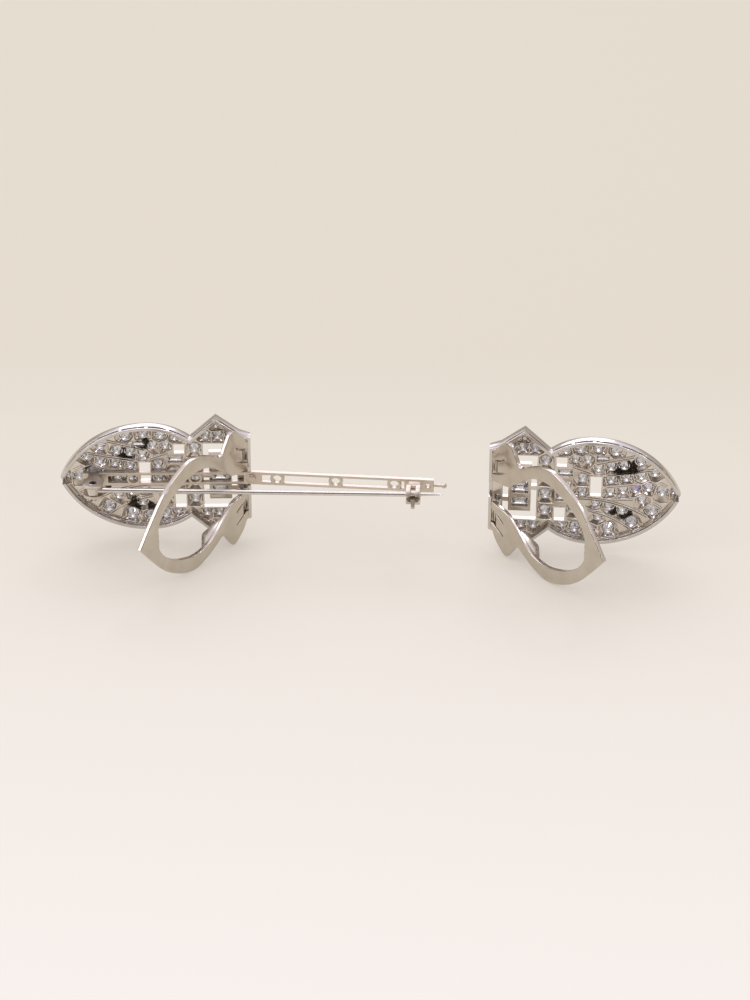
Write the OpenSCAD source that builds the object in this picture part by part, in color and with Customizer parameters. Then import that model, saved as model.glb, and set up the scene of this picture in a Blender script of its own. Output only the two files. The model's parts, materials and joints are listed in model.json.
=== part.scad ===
// Double clip brooch: two mirror-image dress clips that slide onto one pin frame.
// Each clip is drawn flat in its own axes: x from its flat end to its tip, y up the jewel,
// z out of its back. left_half() and right_half() stand the clips up side by side.

/* [Clip outline] */
// Length of a clip, flat end to tip
clip_length = 30; // [27:0.5:34]
// Half width of the pointed leaf
leaf_half = 9.4; // [8.6:0.1:10.2]
// Distance of the leaf's widest place from the flat end
leaf_widest = 16.2; // [15:0.1:17]
// Radius of the leaf's edge toward the head
near_r = 10.9; // [10:0.1:12.5]
// Distance of the notch between head and leaf from the flat end
head_length = 9.5; // [9:0.1:10]
// Half height of the head at its two peaks
head_half = 10.9; // [10.5:0.1:12]
// Distance of the peaks from the flat end
peak_at = 5.4; // [5:0.1:6]
// Half height of the head at its shoulders
shoulder_half = 8.1; // [7.9:0.1:8.6]
// Distance of the shoulders from the flat end
shoulder_at = 1.8; // [1.4:0.1:2.2]
// Half height of the flat end
flat_half = 7.4; // [7.3:0.1:7.8]

/* [Setting] */
// Depth of the rim
rim_depth = 1.9; // [1.7:0.05:2.3]
// Thickness of the rim's wall
rim_wall = 0.55; // [0.45:0.05:0.65]
// Thickness of the pierced plate
plate_t = 0.6; // [0.5:0.05:0.8]
// Height of the ribs on the plate's back
rib_h = 0.3; // [0.2:0.05:0.35]
// Width of a rib
rib_w = 0.3; // [0.2:0.05:0.4]
// Height of the gallery slots in the rim
gallery_h = 0.3; // [0.2:0.05:0.4]
// Metal left between two gallery slots
gallery_post = 0.5; // [0.3:0.1:0.8]
// Gallery slots along each edge of the leaf
gallery_count = 6; // [4:1:8]

/* [Stones] */
// Metal left between stones
stone_wall = 0.16; // [0.12:0.02:0.2]
// Gap around a stone in its hole
stone_gap = 0.07; // [0.05:0.01:0.1]
// Crown height, as a share of the stone's radius
crown_share = 0.32; // [0.25:0.01:0.4]
// Depth below the girdle, as a share of the radius
pavilion_share = 0.8; // [0.7:0.01:0.84]
// Table radius, as a share of the radius
table_share = 0.56; // [0.5:0.01:0.65]

/* [Lever] */
// Length of the lever from its hinge
lever_length = 25.2; // [23:0.2:27]
// Half width of the lever's loop
lever_half = 10; // [9.2:0.1:10.3]
// Thickness of the lever's sheet
lever_t = 0.75; // [0.6:0.05:0.9]
// Angle at which the left clip's lever stands open
left_open = 51; // [44:1:54]
// Angle at which the right clip's lever stands open
right_open = 46; // [44:1:54]
// Angle at which the lever is closed over the frame
lever_closed = 12; // [11:1:20]
// Distance of the hinge rod from the flat end
hinge_at = 1.6; // [1.5:0.05:1.8]
// Depth of the hinge rod's axis below the rim's back edge
hinge_deep = 0.2; // [0.1:0.05:0.25]
// Radius of the hinge rod
rod_r = 0.4; // [0.35:0.01:0.42]
// Running clearance of a knuckle on its rod
run_gap = 0.05; // [0.03:0.01:0.08]
// Wall of a knuckle around its rod
knuckle_wall = 0.35; // [0.3:0.01:0.4]
// Play between a knuckle and its posts
side_play = 0.12; // [0.1:0.01:0.2]
// Width of the slits beside a knuckle
slit_w = 0.25; // [0.2:0.01:0.3]
// Depth of the two teeth under the lever
tooth_deep = 1.8; // [1.2:0.1:1.8]

/* [Frame] */
// Angle that each half of the frame turns toward the wearer
fold = 3.5; // [1:0.5:5]
// Height of the frame's bar
bar_h = 2.26; // [2:0.02:2.4]
// Thickness of the bar
bar_t = 0.85; // [0.7:0.05:0.9]
// Clearance of the bar in a clip
bar_gap = 0.2; // [0.15:0.01:0.3]
// Length of the half that carries the pin's hinge
left_bar = 26.7; // [26:0.1:27.2]
// Length of the half that carries the catch
right_bar = 28.6; // [28.2:0.1:28.8]
// Radius of the bar's round holes
bar_hole_r = 0.7; // [0.5:0.05:0.75]
// Metal left around a hole or a slot of the bar
bar_rail = 0.42; // [0.3:0.02:0.5]
// Gap between a mounted clip's flat end and the frame's middle
middle_gap = 0.25; // [0.2:0.05:0.5]
// Distance that the right clip is slid off the frame
parted = 37; // [33:0.5:45]

/* [Pin and catch] */
// Distance of the pin's rivet from the frame's middle
pivot_at = 24.9; // [24.5:0.1:25.2]
// Height of the rivet over the bar's back
pivot_high = 2.9; // [2.8:0.1:3.1]
// Radius of the rivet
rivet_r = 0.4; // [0.35:0.01:0.45]
// Radius of the pin
pin_r = 0.4; // [0.3:0.02:0.42]
// Radius of the pin's point
point_r = 0.1; // [0.08:0.01:0.15]
// Length of the pin's tapered end
taper = 6.5; // [6:0.1:8]
// Length of the pin past the middle of the catch
pin_past = 4.6; // [4:0.1:5.5]
// Distance of the catch from the frame's middle
catch_at = 25.6; // [25:0.1:26]
// Height of the catch's axis over the bar's back
catch_high = 2.5; // [2.4:0.1:2.8]
// Outer radius of the catch
catch_r = 1.6; // [1.55:0.01:1.7]
// Length of the catch along the pin
catch_length = 2.2; // [2:0.1:2.4]
// Wall of the catch's turning sleeve
sleeve_wall = 0.42; // [0.38:0.01:0.45]
// Gap between the pin and the turning sleeve
pin_gap = 0.15; // [0.1:0.01:0.2]
// Reach of the sleeve's thumb tab past the catch
tab_reach = 0.7; // [0.5:0.05:0.8]

/* [Hidden] */
$fn = 48;

metal = [0.78, 0.76, 0.72];
bright = [0.86, 0.85, 0.83];
diamond = [0.9, 0.93, 0.95, 0.6];

// Each edge of the leaf is two arcs that meet at its widest place: one toward the head, and
// one that reaches the tip. Places along it are arc lengths from the widest place.
leaf_reach = clip_length - leaf_widest;
leaf_length = clip_length - head_length;
far_r = (leaf_reach * leaf_reach + leaf_half * leaf_half) / (2 * leaf_half);
function arc_r(x) = x < leaf_widest ? near_r : far_r;
function leaf_y(x, inset = 0) =
    sqrt(pow(arc_r(x) - inset, 2) - pow(x - leaf_widest, 2)) - arc_r(x) + leaf_half;
function along_leaf(x, inset = 0) =
    asin((x - leaf_widest) / (arc_r(x) - inset)) * PI / 180 * (arc_r(x) - inset);
function on_leaf(s, inset = 0) =
    let (r = s < 0 ? near_r : far_r, t = s / (r - inset) * 180 / PI)
    [leaf_widest + (r - inset) * sin(t), (r - inset) * cos(t) - r + leaf_half];
function tip_x(inset) = leaf_widest + sqrt(pow(far_r - inset, 2) - pow(far_r - leaf_half, 2));

// Corners of the head's upper half, from the flat end to the notch
head_points = [
    [0, flat_half], [shoulder_at, shoulder_half], [peak_at, head_half],
    [head_length, leaf_y(head_length)]
];
EDGE_STEPS = 36;

// Heights of the layers, with 0 at the rim's back edge
plate_front = -rim_depth;
plate_back = plate_front + plate_t;
rib_top = plate_back + rib_h;
seat = plate_front + 0.02;
girdle_share = 0.07;
rim_fillet = 0.12;
gallery_end = 0.8;
// Reach of a cut past the metal it cuts, and past the rim's wall at the flat end
past = 1;
notch_past = 0.2;
// Length of the tip's notch for the bar's prong
tip_notch = 2.5;
// Metal left under the hinge rods by the cuts through the plate
under_rods = 0.1;
// Overlap of forms that are joined
lap = 0.1;
bar_back = rib_top + 0.05 + bar_t;

// Rows of round stones in the head.
// Columns: start along and across, end along and across, as shares of the head's length and
// half height; number of stones at most; radius.
HEAD_ROWS = [
    [0.34, 0.65, 0.745, 0.65, 3, 0.8],
    [0.565, 0.825, 0.565, 0.825, 1, 0.58],
    [0.34, -0.65, 0.745, -0.65, 3, 0.8],
    [0.565, -0.825, 0.565, -0.825, 1, 0.58],
    [0.93, 0.44, 0.93, -0.4, 4, 0.93]
];

// Rows of round stones in the leaf.
// Columns: start along and across, end along and across, as shares of the leaf's length beyond the
// head and of its half width; number of stones at most; radius.
LEAF_ROWS = [
    [0.19073, 0.57, 0.28439, 0.565, 2, 0.76],
    [0.36634, 0.415, 0.55805, 0.478, 3, 0.83],
    [0.46293, 0.2, 0.69268, 0.298, 3, 0.86],
    [0.46293, -0.04, 0.75122, 0.075, 4, 0.84],
    [0.70732, -0.18, 0.70732, -0.18, 1, 0.8],
    [0.3561, -0.26, 0.56098, -0.4, 3, 0.84],
    [0.24927, 0.2, 0.24927, -0.075, 2, 0.84],
    [0.18049, -0.415, 0.18049, -0.415, 1, 0.8],
    [0.37805, -0.53, 0.37805, -0.53, 1, 0.9],
    [0.14098, 0.06, 0.14098, 0.06, 1, 0.58],
    [0.85805, 0.005, 0.85805, 0.005, 1, 1],
    [0.94146, 0, 0.94146, 0, 1, 0.38]
];

// Round stones along the leaf's edges.
// Columns: side, start and end along as shares of the leaf's length beyond the head; number at
// most; radius.
EDGE_ROWS = [
    [1, 0.11317, 0.11317, 1, 0.75],
    [1, 0.22146, 0.49512, 3, 1],
    [1, 0.68537, 0.79512, 2, 0.95],
    [-1, 0.10439, 0.10439, 1, 0.75],
    [-1, 0.20244, 0.31951, 2, 0.95],
    [-1, 0.45854, 0.7878, 3, 1.12]
];

// Step-cut stones of the head and of the leaf.
// Columns: middle along and across; length along and across.
HEAD_BAGUETTES = [
    [0.513, 0.25, 2.5, 1.6],
    [0.513, 0, 2.5, 2.1],
    [0.513, -0.25, 2.5, 1.6]
];
LEAF_BAGUETTES = [
    [0.11463, 0.315, 2.3, 1.15],
    [0.1, -0.165, 2.1, 1.4],
    [0.39561, 0.6235, 2, 0.98]
];

// Rectangular windows of the leaf.
// Columns: middle along and across, as shares; length along and across.
LEAF_WINDOWS = [
    [0.08537, 0.53, 1.7, 1.6],
    [0.35171, 0.085, 1.75, 3.5],
    [0.08098, -0.49, 1.75, 2.35]
];

// Ribs on the back of the leaf.
// Columns: start along and across, end along and across, as shares; sideways bow.
RIBS = [
    [0.16585, 0.455, 0.3122, 0.34, 0],
    [0.34585, 0.52, 0.63415, 0.69, 0],
    [0.42927, 0.31, 0.78049, 0.45, 0],
    [0.42927, 0.08, 0.66341, 0.16, 0],
    [0.20976, -0.17, 0.75122, -0.47, 0.9],
    [0.29756, -0.4, 0.61951, -0.72, 0.5],
    [0.1439, -0.59, 0.28293, -0.62, 0],
    [0.79512, -0.2, 0.85366, -0.29, 0]
];

// The head's pierced window and the block inside it
window_from = 2.15;
window_wall = 0.35;
column = HEAD_ROWS[4];
head_window_to = column[0] * head_length - column[5] - stone_gap - window_wall;
head_window_half = HEAD_ROWS[0][1] * head_half - HEAD_ROWS[0][5] - stone_gap - window_wall;
block_channel = 0.9;
block_end = 1.5;
bridge_w = 0.8;
bridge_at = 2.3;

// Outline of the lever by sections from its hinge to its tip.
// Columns: distance as a share of the length; outer and inner half width as shares.
LEVER_SECTIONS = [
    [0, 0.72, 0.2],
    [0.045, 0.89, 0.215],
    [0.13, 1.04, 0.25],
    [0.18, 0.91, 0.34],
    [0.235, 0.735, 0.45],
    [0.31, 0.83, 0.61],
    [0.39, 0.93, 0.71],
    [0.5, 1, 0.745],
    [0.6, 0.945, 0.68],
    [0.7, 0.82, 0.56],
    [0.78, 0.67, 0.4],
    [0.83, 0.54, 0.2],
    [0.835, 0.52, 0],
    [0.9, 0.325, 0],
    [1, 0, 0]
];
LOOP_END = 12;
// The lever's sheet starts a little behind its hinge
lever_back = 0.35;
lever_under = rod_r + 0.1;
knuckle_r = rod_r + run_gap + knuckle_wall;
// Knuckle, posts and slits by their distance from the clip's middle line
post_in = 2.05;
knuckle_in = 3.6;
knuckle_out = 5.8;
post_out = 7.1;
slit_end = 2.6;
slit_spread = 1.25;
// Where the teeth are rooted on the loop's inner edge, as shares of the lever's length
tooth_from = 0.2;
tooth_tip = 0.32;
tooth_to = 0.42;

// How the brooch stands: on the heads' lower peaks and on the lower sides of the levers
lever_top = lever_under + lever_t;
lean = min([for (open = [left_open, right_open], p = lever_edge(1, len(LEVER_SECTIONS) - 1))
    atan((head_half - p.y) / (-hinge_deep + p.x * sin(open) + lever_top * cos(open)))]);
rest_height = head_half * cos(lean);

// Holes and slots of the bar
left_holes = [9, 18.7];
right_holes = [3.9, 13.15, 22.4];
end_hole_r = 0.4;
end_hole_at = right_bar - 0.9;
slot_h = bar_h - 2 * bar_rail;
prong_r = 0.28;
bead_r = 0.45;
prong_length = 1.9;
prong_root = 0.3;
peg_r = 0.75;
peg_h = 0.45;
peg_off = 0.3;
ear_t = 0.4;
ear_length = 3.2;
ear_clear = 0.08;
eye_r = 0.95;
rivet_head = 0.25;
bar_axis = bar_back - bar_t / 2;
pivot_z = bar_back + pivot_high;
catch_z = bar_back + catch_high;
sleeve_in = pin_r + pin_gap;
sleeve_out = sleeve_in + sleeve_wall;
mouth = 2 * (pin_r + 0.08);
// The foot that joins the catch's drum to the bar
foot_w = 1.1;
foot_from = 0.6;
tab_w = 0.6;
tab_t = 0.7;
tab_angle = 32;
tab_turn = 100;

function between(a, b, t) = a + (b - a) * t;
function count_in(length, r, most) =
    min(most, 1 + floor((length + 0.001) / (2 * (r + stone_gap) + stone_wall)));
function step(i, n) = n > 1 ? i / (n - 1) : 0.5;

// A point on a bowed line from a to b
function bowed(a, b, bow, t) =
    let (d = b - a, side = [-d.y, d.x] / norm(d))
    between(a, b, t) + side * bow * 4 * t * (1 - t);

// Catmull-Rom interpolation of one column of a table of sections
function cell(table, k, i) = table[max(0, min(len(table) - 1, i))][k];
function spline(table, k, i, t) =
    let (p0 = cell(table, k, i - 1), p1 = cell(table, k, i),
         p2 = cell(table, k, i + 1), p3 = cell(table, k, i + 2))
    0.5 * (2 * p1 + (p2 - p0) * t + (2 * p0 - 5 * p1 + 4 * p2 - p3) * t * t
        + (3 * p1 - p0 - 3 * p2 + p3) * t * t * t);

// Corners of a convex outline moved inward by a wall
function line_cross(a, b, c, d) =
    let (r = b - a, s = d - c, q = c - a)
    a + r * ((q.x * s.y - q.y * s.x) / (r.x * s.y - r.y * s.x));
function shifted(a, b, wall) = let (d = (b - a) / norm(b - a)) [d.y, -d.x] * wall;
function inset_corner(p, i, wall) =
    let (a = p[i - 1], b = p[i], c = p[i + 1], m = shifted(a, b, wall), n = shifted(b, c, wall))
    line_cross(a + m, b + m, b + n, c + n);
// Where the line through a and b meets the leaf's edge, found by halving between two places
function notch_x(a, b, inset, low, high, steps = 24) =
    let (x = (low + high) / 2, y = a.y + (b.y - a.y) * (x - a.x) / (b.x - a.x))
    steps == 0 ? x
        : y > leaf_y(x, inset) ? notch_x(a, b, inset, x, high, steps - 1)
        : notch_x(a, b, inset, low, x, steps - 1);
function mirrored(p) = [for (i = [len(p) - 1 : -1 : 0]) [p[i].x, -p[i].y]];

// Places of all round stones: [x, y, radius]
function row_places(rows, lx, ly, from = 0) = [
    for (row = rows)
        let (a = [from + row[0] * lx, row[1] * ly], b = [from + row[2] * lx, row[3] * ly],
             n = norm(b - a) > 0 ? count_in(norm(b - a), row[5], row[4]) : 1)
        for (i = [0 : n - 1])
            let (p = between(a, b, step(i, n))) [p.x, p.y, row[5]]
];
function edge_places(rows) = [
    for (row = rows)
        let (inset = rim_wall + stone_gap + rim_fillet + row[4],
             a = along_leaf(head_length + row[1] * leaf_length, inset),
             b = along_leaf(head_length + row[2] * leaf_length, inset),
             n = b > a ? count_in(b - a, row[4], row[3]) : 1)
        for (i = [0 : n - 1])
            let (p = on_leaf(between(a, b, step(i, n)), inset)) [p.x, row[0] * p.y, row[4]]
];
stones = concat(
    row_places(HEAD_ROWS, head_length, head_half),
    row_places(LEAF_ROWS, leaf_length, leaf_half, head_length),
    edge_places(EDGE_ROWS)
);

// Where a point of the right half stands, measured from the frame's middle
function stood(p) =
    let (y = -p.y * sin(lean) - p.z * cos(lean), z = p.y * cos(lean) - p.z * sin(lean))
    [p.x * cos(fold) + y * sin(fold), y * cos(fold) - p.x * sin(fold), z];

// The model's origin lies under the middle of the whole brooch
function tip_y(from, open) = stood([
    from + hinge_at + lever_length * cos(open) - lever_top * sin(open),
    0, -hinge_deep + lever_length * sin(open) + lever_top * cos(open)
]).y;
front_most = min(tip_y(middle_gap, left_open), tip_y(middle_gap + parted, right_open));
back_most = max([for (s = stones) stood([
    middle_gap + s.x, s.y - table_share * s.z, seat - (girdle_share + crown_share) * s.z
]).y]);
origin = [parted * cos(fold) / 2, (front_most + back_most) / 2, -rest_height];

module right_half() {
    translate(-origin) rotate([0, 0, -fold]) rotate([90 + lean, 0, 0]) children();
}

module left_half() {
    translate(-origin) mirror([1, 0, 0]) rotate([0, 0, -fold]) rotate([90 + lean, 0, 0])
        children();
}

module right_clip() {
    right_half() translate([middle_gap + parted, 0, 0]) children();
}

module left_clip() {
    left_half() translate([middle_gap, 0, 0]) children();
}

// Filled outline of a clip, drawn in by a wall
module clip_outline(wall = 0) {
    corners = concat([[0, -flat_half]], head_points);
    edge = shifted(corners[3], corners[4], wall);
    from = notch_x(corners[3] + edge, corners[4] + edge, wall, peak_at, leaf_widest);
    a = along_leaf(from, wall);
    b = along_leaf(tip_x(wall), wall);
    upper = concat([for (i = [1 : 3]) inset_corner(corners, i, wall)],
        [for (i = [0 : EDGE_STEPS - 1]) on_leaf(between(a, b, i / EDGE_STEPS), wall)]);
    polygon(concat(upper, [[tip_x(wall), 0]], mirrored(upper)));
}

module strip(a, b, bow, width) {
    steps = bow == 0 ? 1 : 10;
    line = [for (i = [0 : steps]) bowed(a, b, bow, i / steps)];
    side = [for (i = [0 : steps])
        let (d = line[min(i + 1, steps)] - line[max(i - 1, 0)]) [-d.y, d.x] / norm(d) * width / 2];
    polygon(concat([for (i = [0 : steps]) line[i] + side[i]],
        [for (i = [steps : -1 : 0]) line[i] - side[i]]));
}

module box_2d(place, lx, ly, size, grow = 0, from = 0) {
    translate([from + place[0] * lx, place[1] * ly])
        square([place[2] + 2 * grow, place[3] + 2 * grow], center = true);
}

module stone_holes() {
    for (s = stones) translate([s.x, s.y]) circle(s.z + stone_gap, $fn = 24);
    for (b = HEAD_BAGUETTES) box_2d(b, head_length, head_half, b, stone_gap);
    for (b = LEAF_BAGUETTES) box_2d(b, leaf_length, leaf_half, b, stone_gap, head_length);
}

// Pierced channels around the head's central block
module head_window() {
    difference() {
        translate([window_from, -head_window_half])
            square([head_window_to - window_from, 2 * head_window_half]);
        translate([window_from + block_channel, -head_window_half + block_end])
            square([head_window_to - window_from - 2 * block_channel,
                2 * (head_window_half - block_end)]);
        for (y = [-bridge_at, bridge_at])
            translate([window_from - lap, y - bridge_w / 2]) square([block_channel + 2 * lap, bridge_w]);
        translate([head_window_to - block_channel - lap, -bridge_w / 2])
            square([block_channel + 2 * lap, bridge_w]);
    }
}

// Long slots through the rim's wall
module gallery() {
    z = (rib_top - gallery_h) / 2;
    from = along_leaf(head_length) + gallery_post;
    to = along_leaf(clip_length) - 2 * rim_wall;
    near = max(1, round(gallery_count * -from / (to - from)));
    // Columns: radius; start and end of the run along the edge; number of slots.
    for (run = [[near_r, from, 0, near], [far_r, 0, to, max(1, gallery_count - near)]])
        for (side = [1, -1], i = [0 : run[3] - 1]) {
            degrees = 180 / PI / run[0];
            pitch = (run[2] - run[1]) / run[3];
            mirror([0, side > 0 ? 0 : 1, 0]) translate([leaf_widest, leaf_half - run[0], z])
                rotate([0, 0, 90 - (run[1] + (i + 1) * pitch - gallery_post / 2) * degrees])
                rotate_extrude(angle = (pitch - gallery_post) * degrees, $fn = 180)
                translate([run[0] - 2 * rim_wall, 0]) square([3 * rim_wall, gallery_h]);
        }
    for (side = [1, -1], i = [1, 2])
        let (a = head_points[i], b = head_points[i + 1], d = b - a, t = atan2(d.y, d.x))
        mirror([0, side > 0 ? 0 : 1, 0]) translate([a.x, a.y, z]) rotate([0, 0, t])
        translate([gallery_end, -1.5 * rim_wall, 0])
            cube([norm(d) - 2 * gallery_end, 3 * rim_wall, gallery_h]);
}

// Hinge rods on their posts, one pair above and one below the bar
module hinge_rods() {
    for (side = [1, -1]) mirror([0, side > 0 ? 0 : 1, 0]) {
        translate([hinge_at, post_in, -hinge_deep]) rotate([-90, 0, 0])
            cylinder(h = post_out - post_in, r = rod_r);
        for (y = [[post_in, knuckle_in - side_play], [knuckle_out + side_play, post_out]])
            translate([hinge_at - rod_r, y[0], plate_back - lap])
            cube([2 * rod_r, y[1] - y[0], -plate_back + lap - hinge_deep]);
    }
}

module setting() {
    difference() {
        union() {
            translate([0, 0, plate_front]) linear_extrude(plate_t) clip_outline(rim_wall / 2);
            translate([0, 0, plate_front]) linear_extrude(rim_depth) difference() {
                clip_outline();
                clip_outline(rim_wall);
            }
            translate([0, 0, plate_back - 0.05]) linear_extrude(rib_h + 0.05) intersection() {
                clip_outline(rim_wall / 2);
                for (r = RIBS)
                    strip([head_length + r[0] * leaf_length, r[1] * leaf_half],
                        [head_length + r[2] * leaf_length, r[3] * leaf_half], r[4], rib_w);
            }
            hinge_rods();
        }
        translate([0, 0, plate_front - past])
            linear_extrude(rim_depth + past - under_rods - hinge_deep - rod_r) {
            stone_holes();
            head_window();
            for (w = LEAF_WINDOWS) box_2d(w, leaf_length, leaf_half, w, from = head_length);
        }
        gallery();
        translate([-past, -bar_h / 2 - bar_gap, rib_top])
            cube([past + rim_wall + notch_past, bar_h + 2 * bar_gap, rim_depth]);
        translate([clip_length - tip_notch, -bead_r - bar_gap, rib_top])
            cube([tip_notch + past, 2 * (bead_r + bar_gap), rim_depth]);
    }
}

// Brilliant with its girdle at z = 0 and its table toward -z
module brilliant(r) {
    girdle_t = girdle_share * r;
    table = -girdle_t - crown_share * r;
    rotate([0, 0, 22.5]) rotate_extrude($fn = 8) polygon([
        [0, min(pavilion_share * r, rib_top - seat)], [r, 0], [r, -girdle_t],
        [table_share * r, table], [0, table]
    ]);
}

// Step-cut stone with its girdle at z = 0 and its table toward -z
module step_cut(l, w) {
    deep = 0.4 * w;
    girdle_t = 0.1;
    table = girdle_t + 0.2 * w;
    keel = (l - w) / 2 + 0.1 * w;
    corners = [[-1, -1], [1, -1], [1, 1], [-1, 1]];
    points = concat(
        [[-keel, 0, deep], [keel, 0, deep]],
        [for (c = corners) [c.x * l / 2, c.y * w / 2, 0]],
        [for (c = corners) [c.x * l / 2, c.y * w / 2, -girdle_t]],
        [for (c = corners) [c.x * (l / 2 - 0.24 * w), c.y * 0.26 * w, -table]]
    );
    polyhedron(points, [
        [0, 1, 3, 2], [1, 4, 3], [1, 0, 5, 4], [0, 2, 5],
        [2, 3, 7, 6], [3, 4, 8, 7], [4, 5, 9, 8], [5, 2, 6, 9],
        [6, 7, 11, 10], [7, 8, 12, 11], [8, 9, 13, 12], [9, 6, 10, 13],
        [10, 11, 12, 13]
    ], convexity = 2);
}

module round_stones() {
    for (s = stones) translate([s.x, s.y, seat]) brilliant(s.z);
}

module baguettes(table, lx, ly, from = 0) {
    for (b = table) translate([from + b[0] * lx, b[1] * ly, seat])
        rotate([0, 0, b[2] > b[3] ? 0 : 90]) step_cut(max(b[2], b[3]), min(b[2], b[3]));
}

function lever_edge(k, last) = [
    for (i = [0 : last - 1], t = [0 : 3])
        let (s = i + t / 4)
        [between(0, lever_length, max(0, spline(LEVER_SECTIONS, 0, i, t / 4))),
         lever_half * max(0, spline(LEVER_SECTIONS, k, i, t / 4))]
];

module lever_outline() {
    outer = concat([[-lever_back, 0.7 * lever_half]], lever_edge(1, len(LEVER_SECTIONS) - 1),
        [[lever_length, 0]]);
    inner = concat([[-lever_back - 1, 0.2 * lever_half]], lever_edge(2, LOOP_END));
    difference() {
        polygon(concat(outer, mirrored(outer)));
        polygon(concat(inner, mirrored(inner)));
        for (side = [1, -1], y = [knuckle_in - side_play / 2, knuckle_out + side_play / 2])
            strip([-1, side * (y - 0.35)], [slit_end, side * (y + slit_spread)], -0.25 * side, slit_w);
    }
}

// A point on the loop's inner edge, at a share of the lever's length
function inner_at(share) =
    let (i = max([for (k = [0 : LOOP_END]) LEVER_SECTIONS[k][0] <= share ? k : 0]),
         a = LEVER_SECTIONS[i], b = LEVER_SECTIONS[i + 1], t = (share - a[0]) / (b[0] - a[0]))
    [share * lever_length, lever_half * between(a[2], b[2], t)];

// Pointed tooth bent down from the loop's inner edge
module tooth() {
    a = inner_at(tooth_from);
    b = inner_at(tooth_to);
    d = b - a;
    reach = norm(d);
    tip = (tooth_tip - tooth_from) / (tooth_to - tooth_from) * reach;
    translate([a.x, a.y, 0]) rotate([0, 0, atan2(d.y, d.x)]) translate([0, 0.45 + lever_t, 0])
        rotate([90, 0, 0]) linear_extrude(lever_t)
        polygon([[0, lever_under + lever_t / 2], [reach, lever_under + lever_t / 2],
            [reach, lever_under], [tip + 0.3, lever_under - tooth_deep],
            [tip - 0.3, lever_under - tooth_deep], [0, lever_under]]);
}

module lever(open) {
    translate([hinge_at, 0, -hinge_deep]) rotate([0, -open, 0]) difference() {
        union() {
            translate([0, 0, lever_under]) linear_extrude(lever_t) lever_outline();
            for (side = [1, -1]) mirror([0, side > 0 ? 0 : 1, 0]) {
                translate([0, knuckle_in, 0]) rotate([-90, 0, 0])
                    cylinder(h = knuckle_out - knuckle_in, r = knuckle_r);
                tooth();
            }
        }
        translate([0, -head_half, 0]) rotate([-90, 0, 0]) cylinder(h = 2 * head_half, r = rod_r + run_gap);
    }
}

// Slots between the bar's holes, with ends that follow the holes
module bar_slots(ends, holes) {
    stops = concat([ends[0]], holes, [ends[1]]);
    for (i = [0 : len(stops) - 2]) difference() {
        translate([stops[i], -slot_h / 2]) square([stops[i + 1] - stops[i], slot_h]);
        for (h = holes) translate([h, 0]) circle(bar_hole_r + bar_rail);
    }
    for (h = holes) translate([h, 0]) circle(bar_hole_r);
}

module bar_half(length, ends, holes) {
    translate([0, 0, bar_back - bar_t]) linear_extrude(bar_t) difference() {
        translate([-0.02, -bar_h / 2]) square([length + 0.02, bar_h]);
        bar_slots(ends, holes);
        children();
    }
}

// Fork that holds the pin's rivet
module pin_fork() {
    for (side = [1, -1]) mirror([0, side > 0 ? 0 : 1, 0]) difference() {
        translate([pivot_at - ear_length / 2, bar_h / 2, bar_back - bar_t / 2]) rotate([90, 0, 0])
            linear_extrude(ear_t) polygon([[0, 0], [ear_length, 0],
                [ear_length, pivot_high + 0.1], [ear_length - 0.9, pivot_high + 1.2],
                [0.6, pivot_high + 1.2], [0, pivot_high + 0.4]]);
        translate([pivot_at, -1, pivot_z]) rotate([-90, 0, 0]) cylinder(h = 4, r = rivet_r + 0.02);
    }
}

// Fixed drum of the catch, open toward the back and slotted for the thumb tab
module catch_drum() {
    translate([catch_at - catch_length / 2, 0, catch_z]) rotate([0, 90, 0]) difference() {
        union() {
            cylinder(h = catch_length, r = catch_r);
            translate([foot_from, -foot_w / 2, 0])
                cube([catch_high - foot_from + lap, foot_w, catch_length]);
        }
        translate([0, 0, -1]) cylinder(h = catch_length + 2, r = sleeve_out + run_gap);
        translate([-3, -mouth / 2, -1]) cube([3, mouth, catch_length + 2]);
        translate([0, 0, catch_length / 2 - tab_w / 2 - 0.08]) rotate([0, 0, 90])
            rotate_extrude(angle = 180) square([catch_r + 1, tab_w + 0.16]);
    }
}

// Springy end prong with a bead
module end_prong() {
    translate([right_bar - prong_root, 0, bar_axis]) rotate([0, 90, 0])
        cylinder(h = prong_length, r = prong_r, $fn = 24);
    translate([right_bar + prong_length - prong_root, 0, bar_axis]) sphere(bead_r, $fn = 24);
}

module frame_bar() color(metal) {
    left_half() {
        bar_half(left_bar, [1.4, pivot_at - ear_length / 2 - 0.6], left_holes);
        pin_fork();
    }
    right_half() {
        bar_half(right_bar, [1.4, catch_at - catch_length / 2 - 0.5], right_holes)
            translate([end_hole_at, 0]) circle(end_hole_r);
        catch_drum();
        end_prong();
        translate([-peg_off, 0, bar_back - lap]) cylinder(h = peg_h + lap, r = peg_r);
    }
}

module pin_rivet() color(bright) left_half() translate([pivot_at, 0, pivot_z]) rotate([90, 0, 0]) {
    cylinder(h = bar_h + 0.1, r = rivet_r, center = true);
    for (side = [1, -1])
        translate([0, 0, side * (bar_h / 2 + 0.03 + rivet_head / 2)])
        cylinder(h = rivet_head, r = rivet_r + 0.25, center = true);
}

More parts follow.
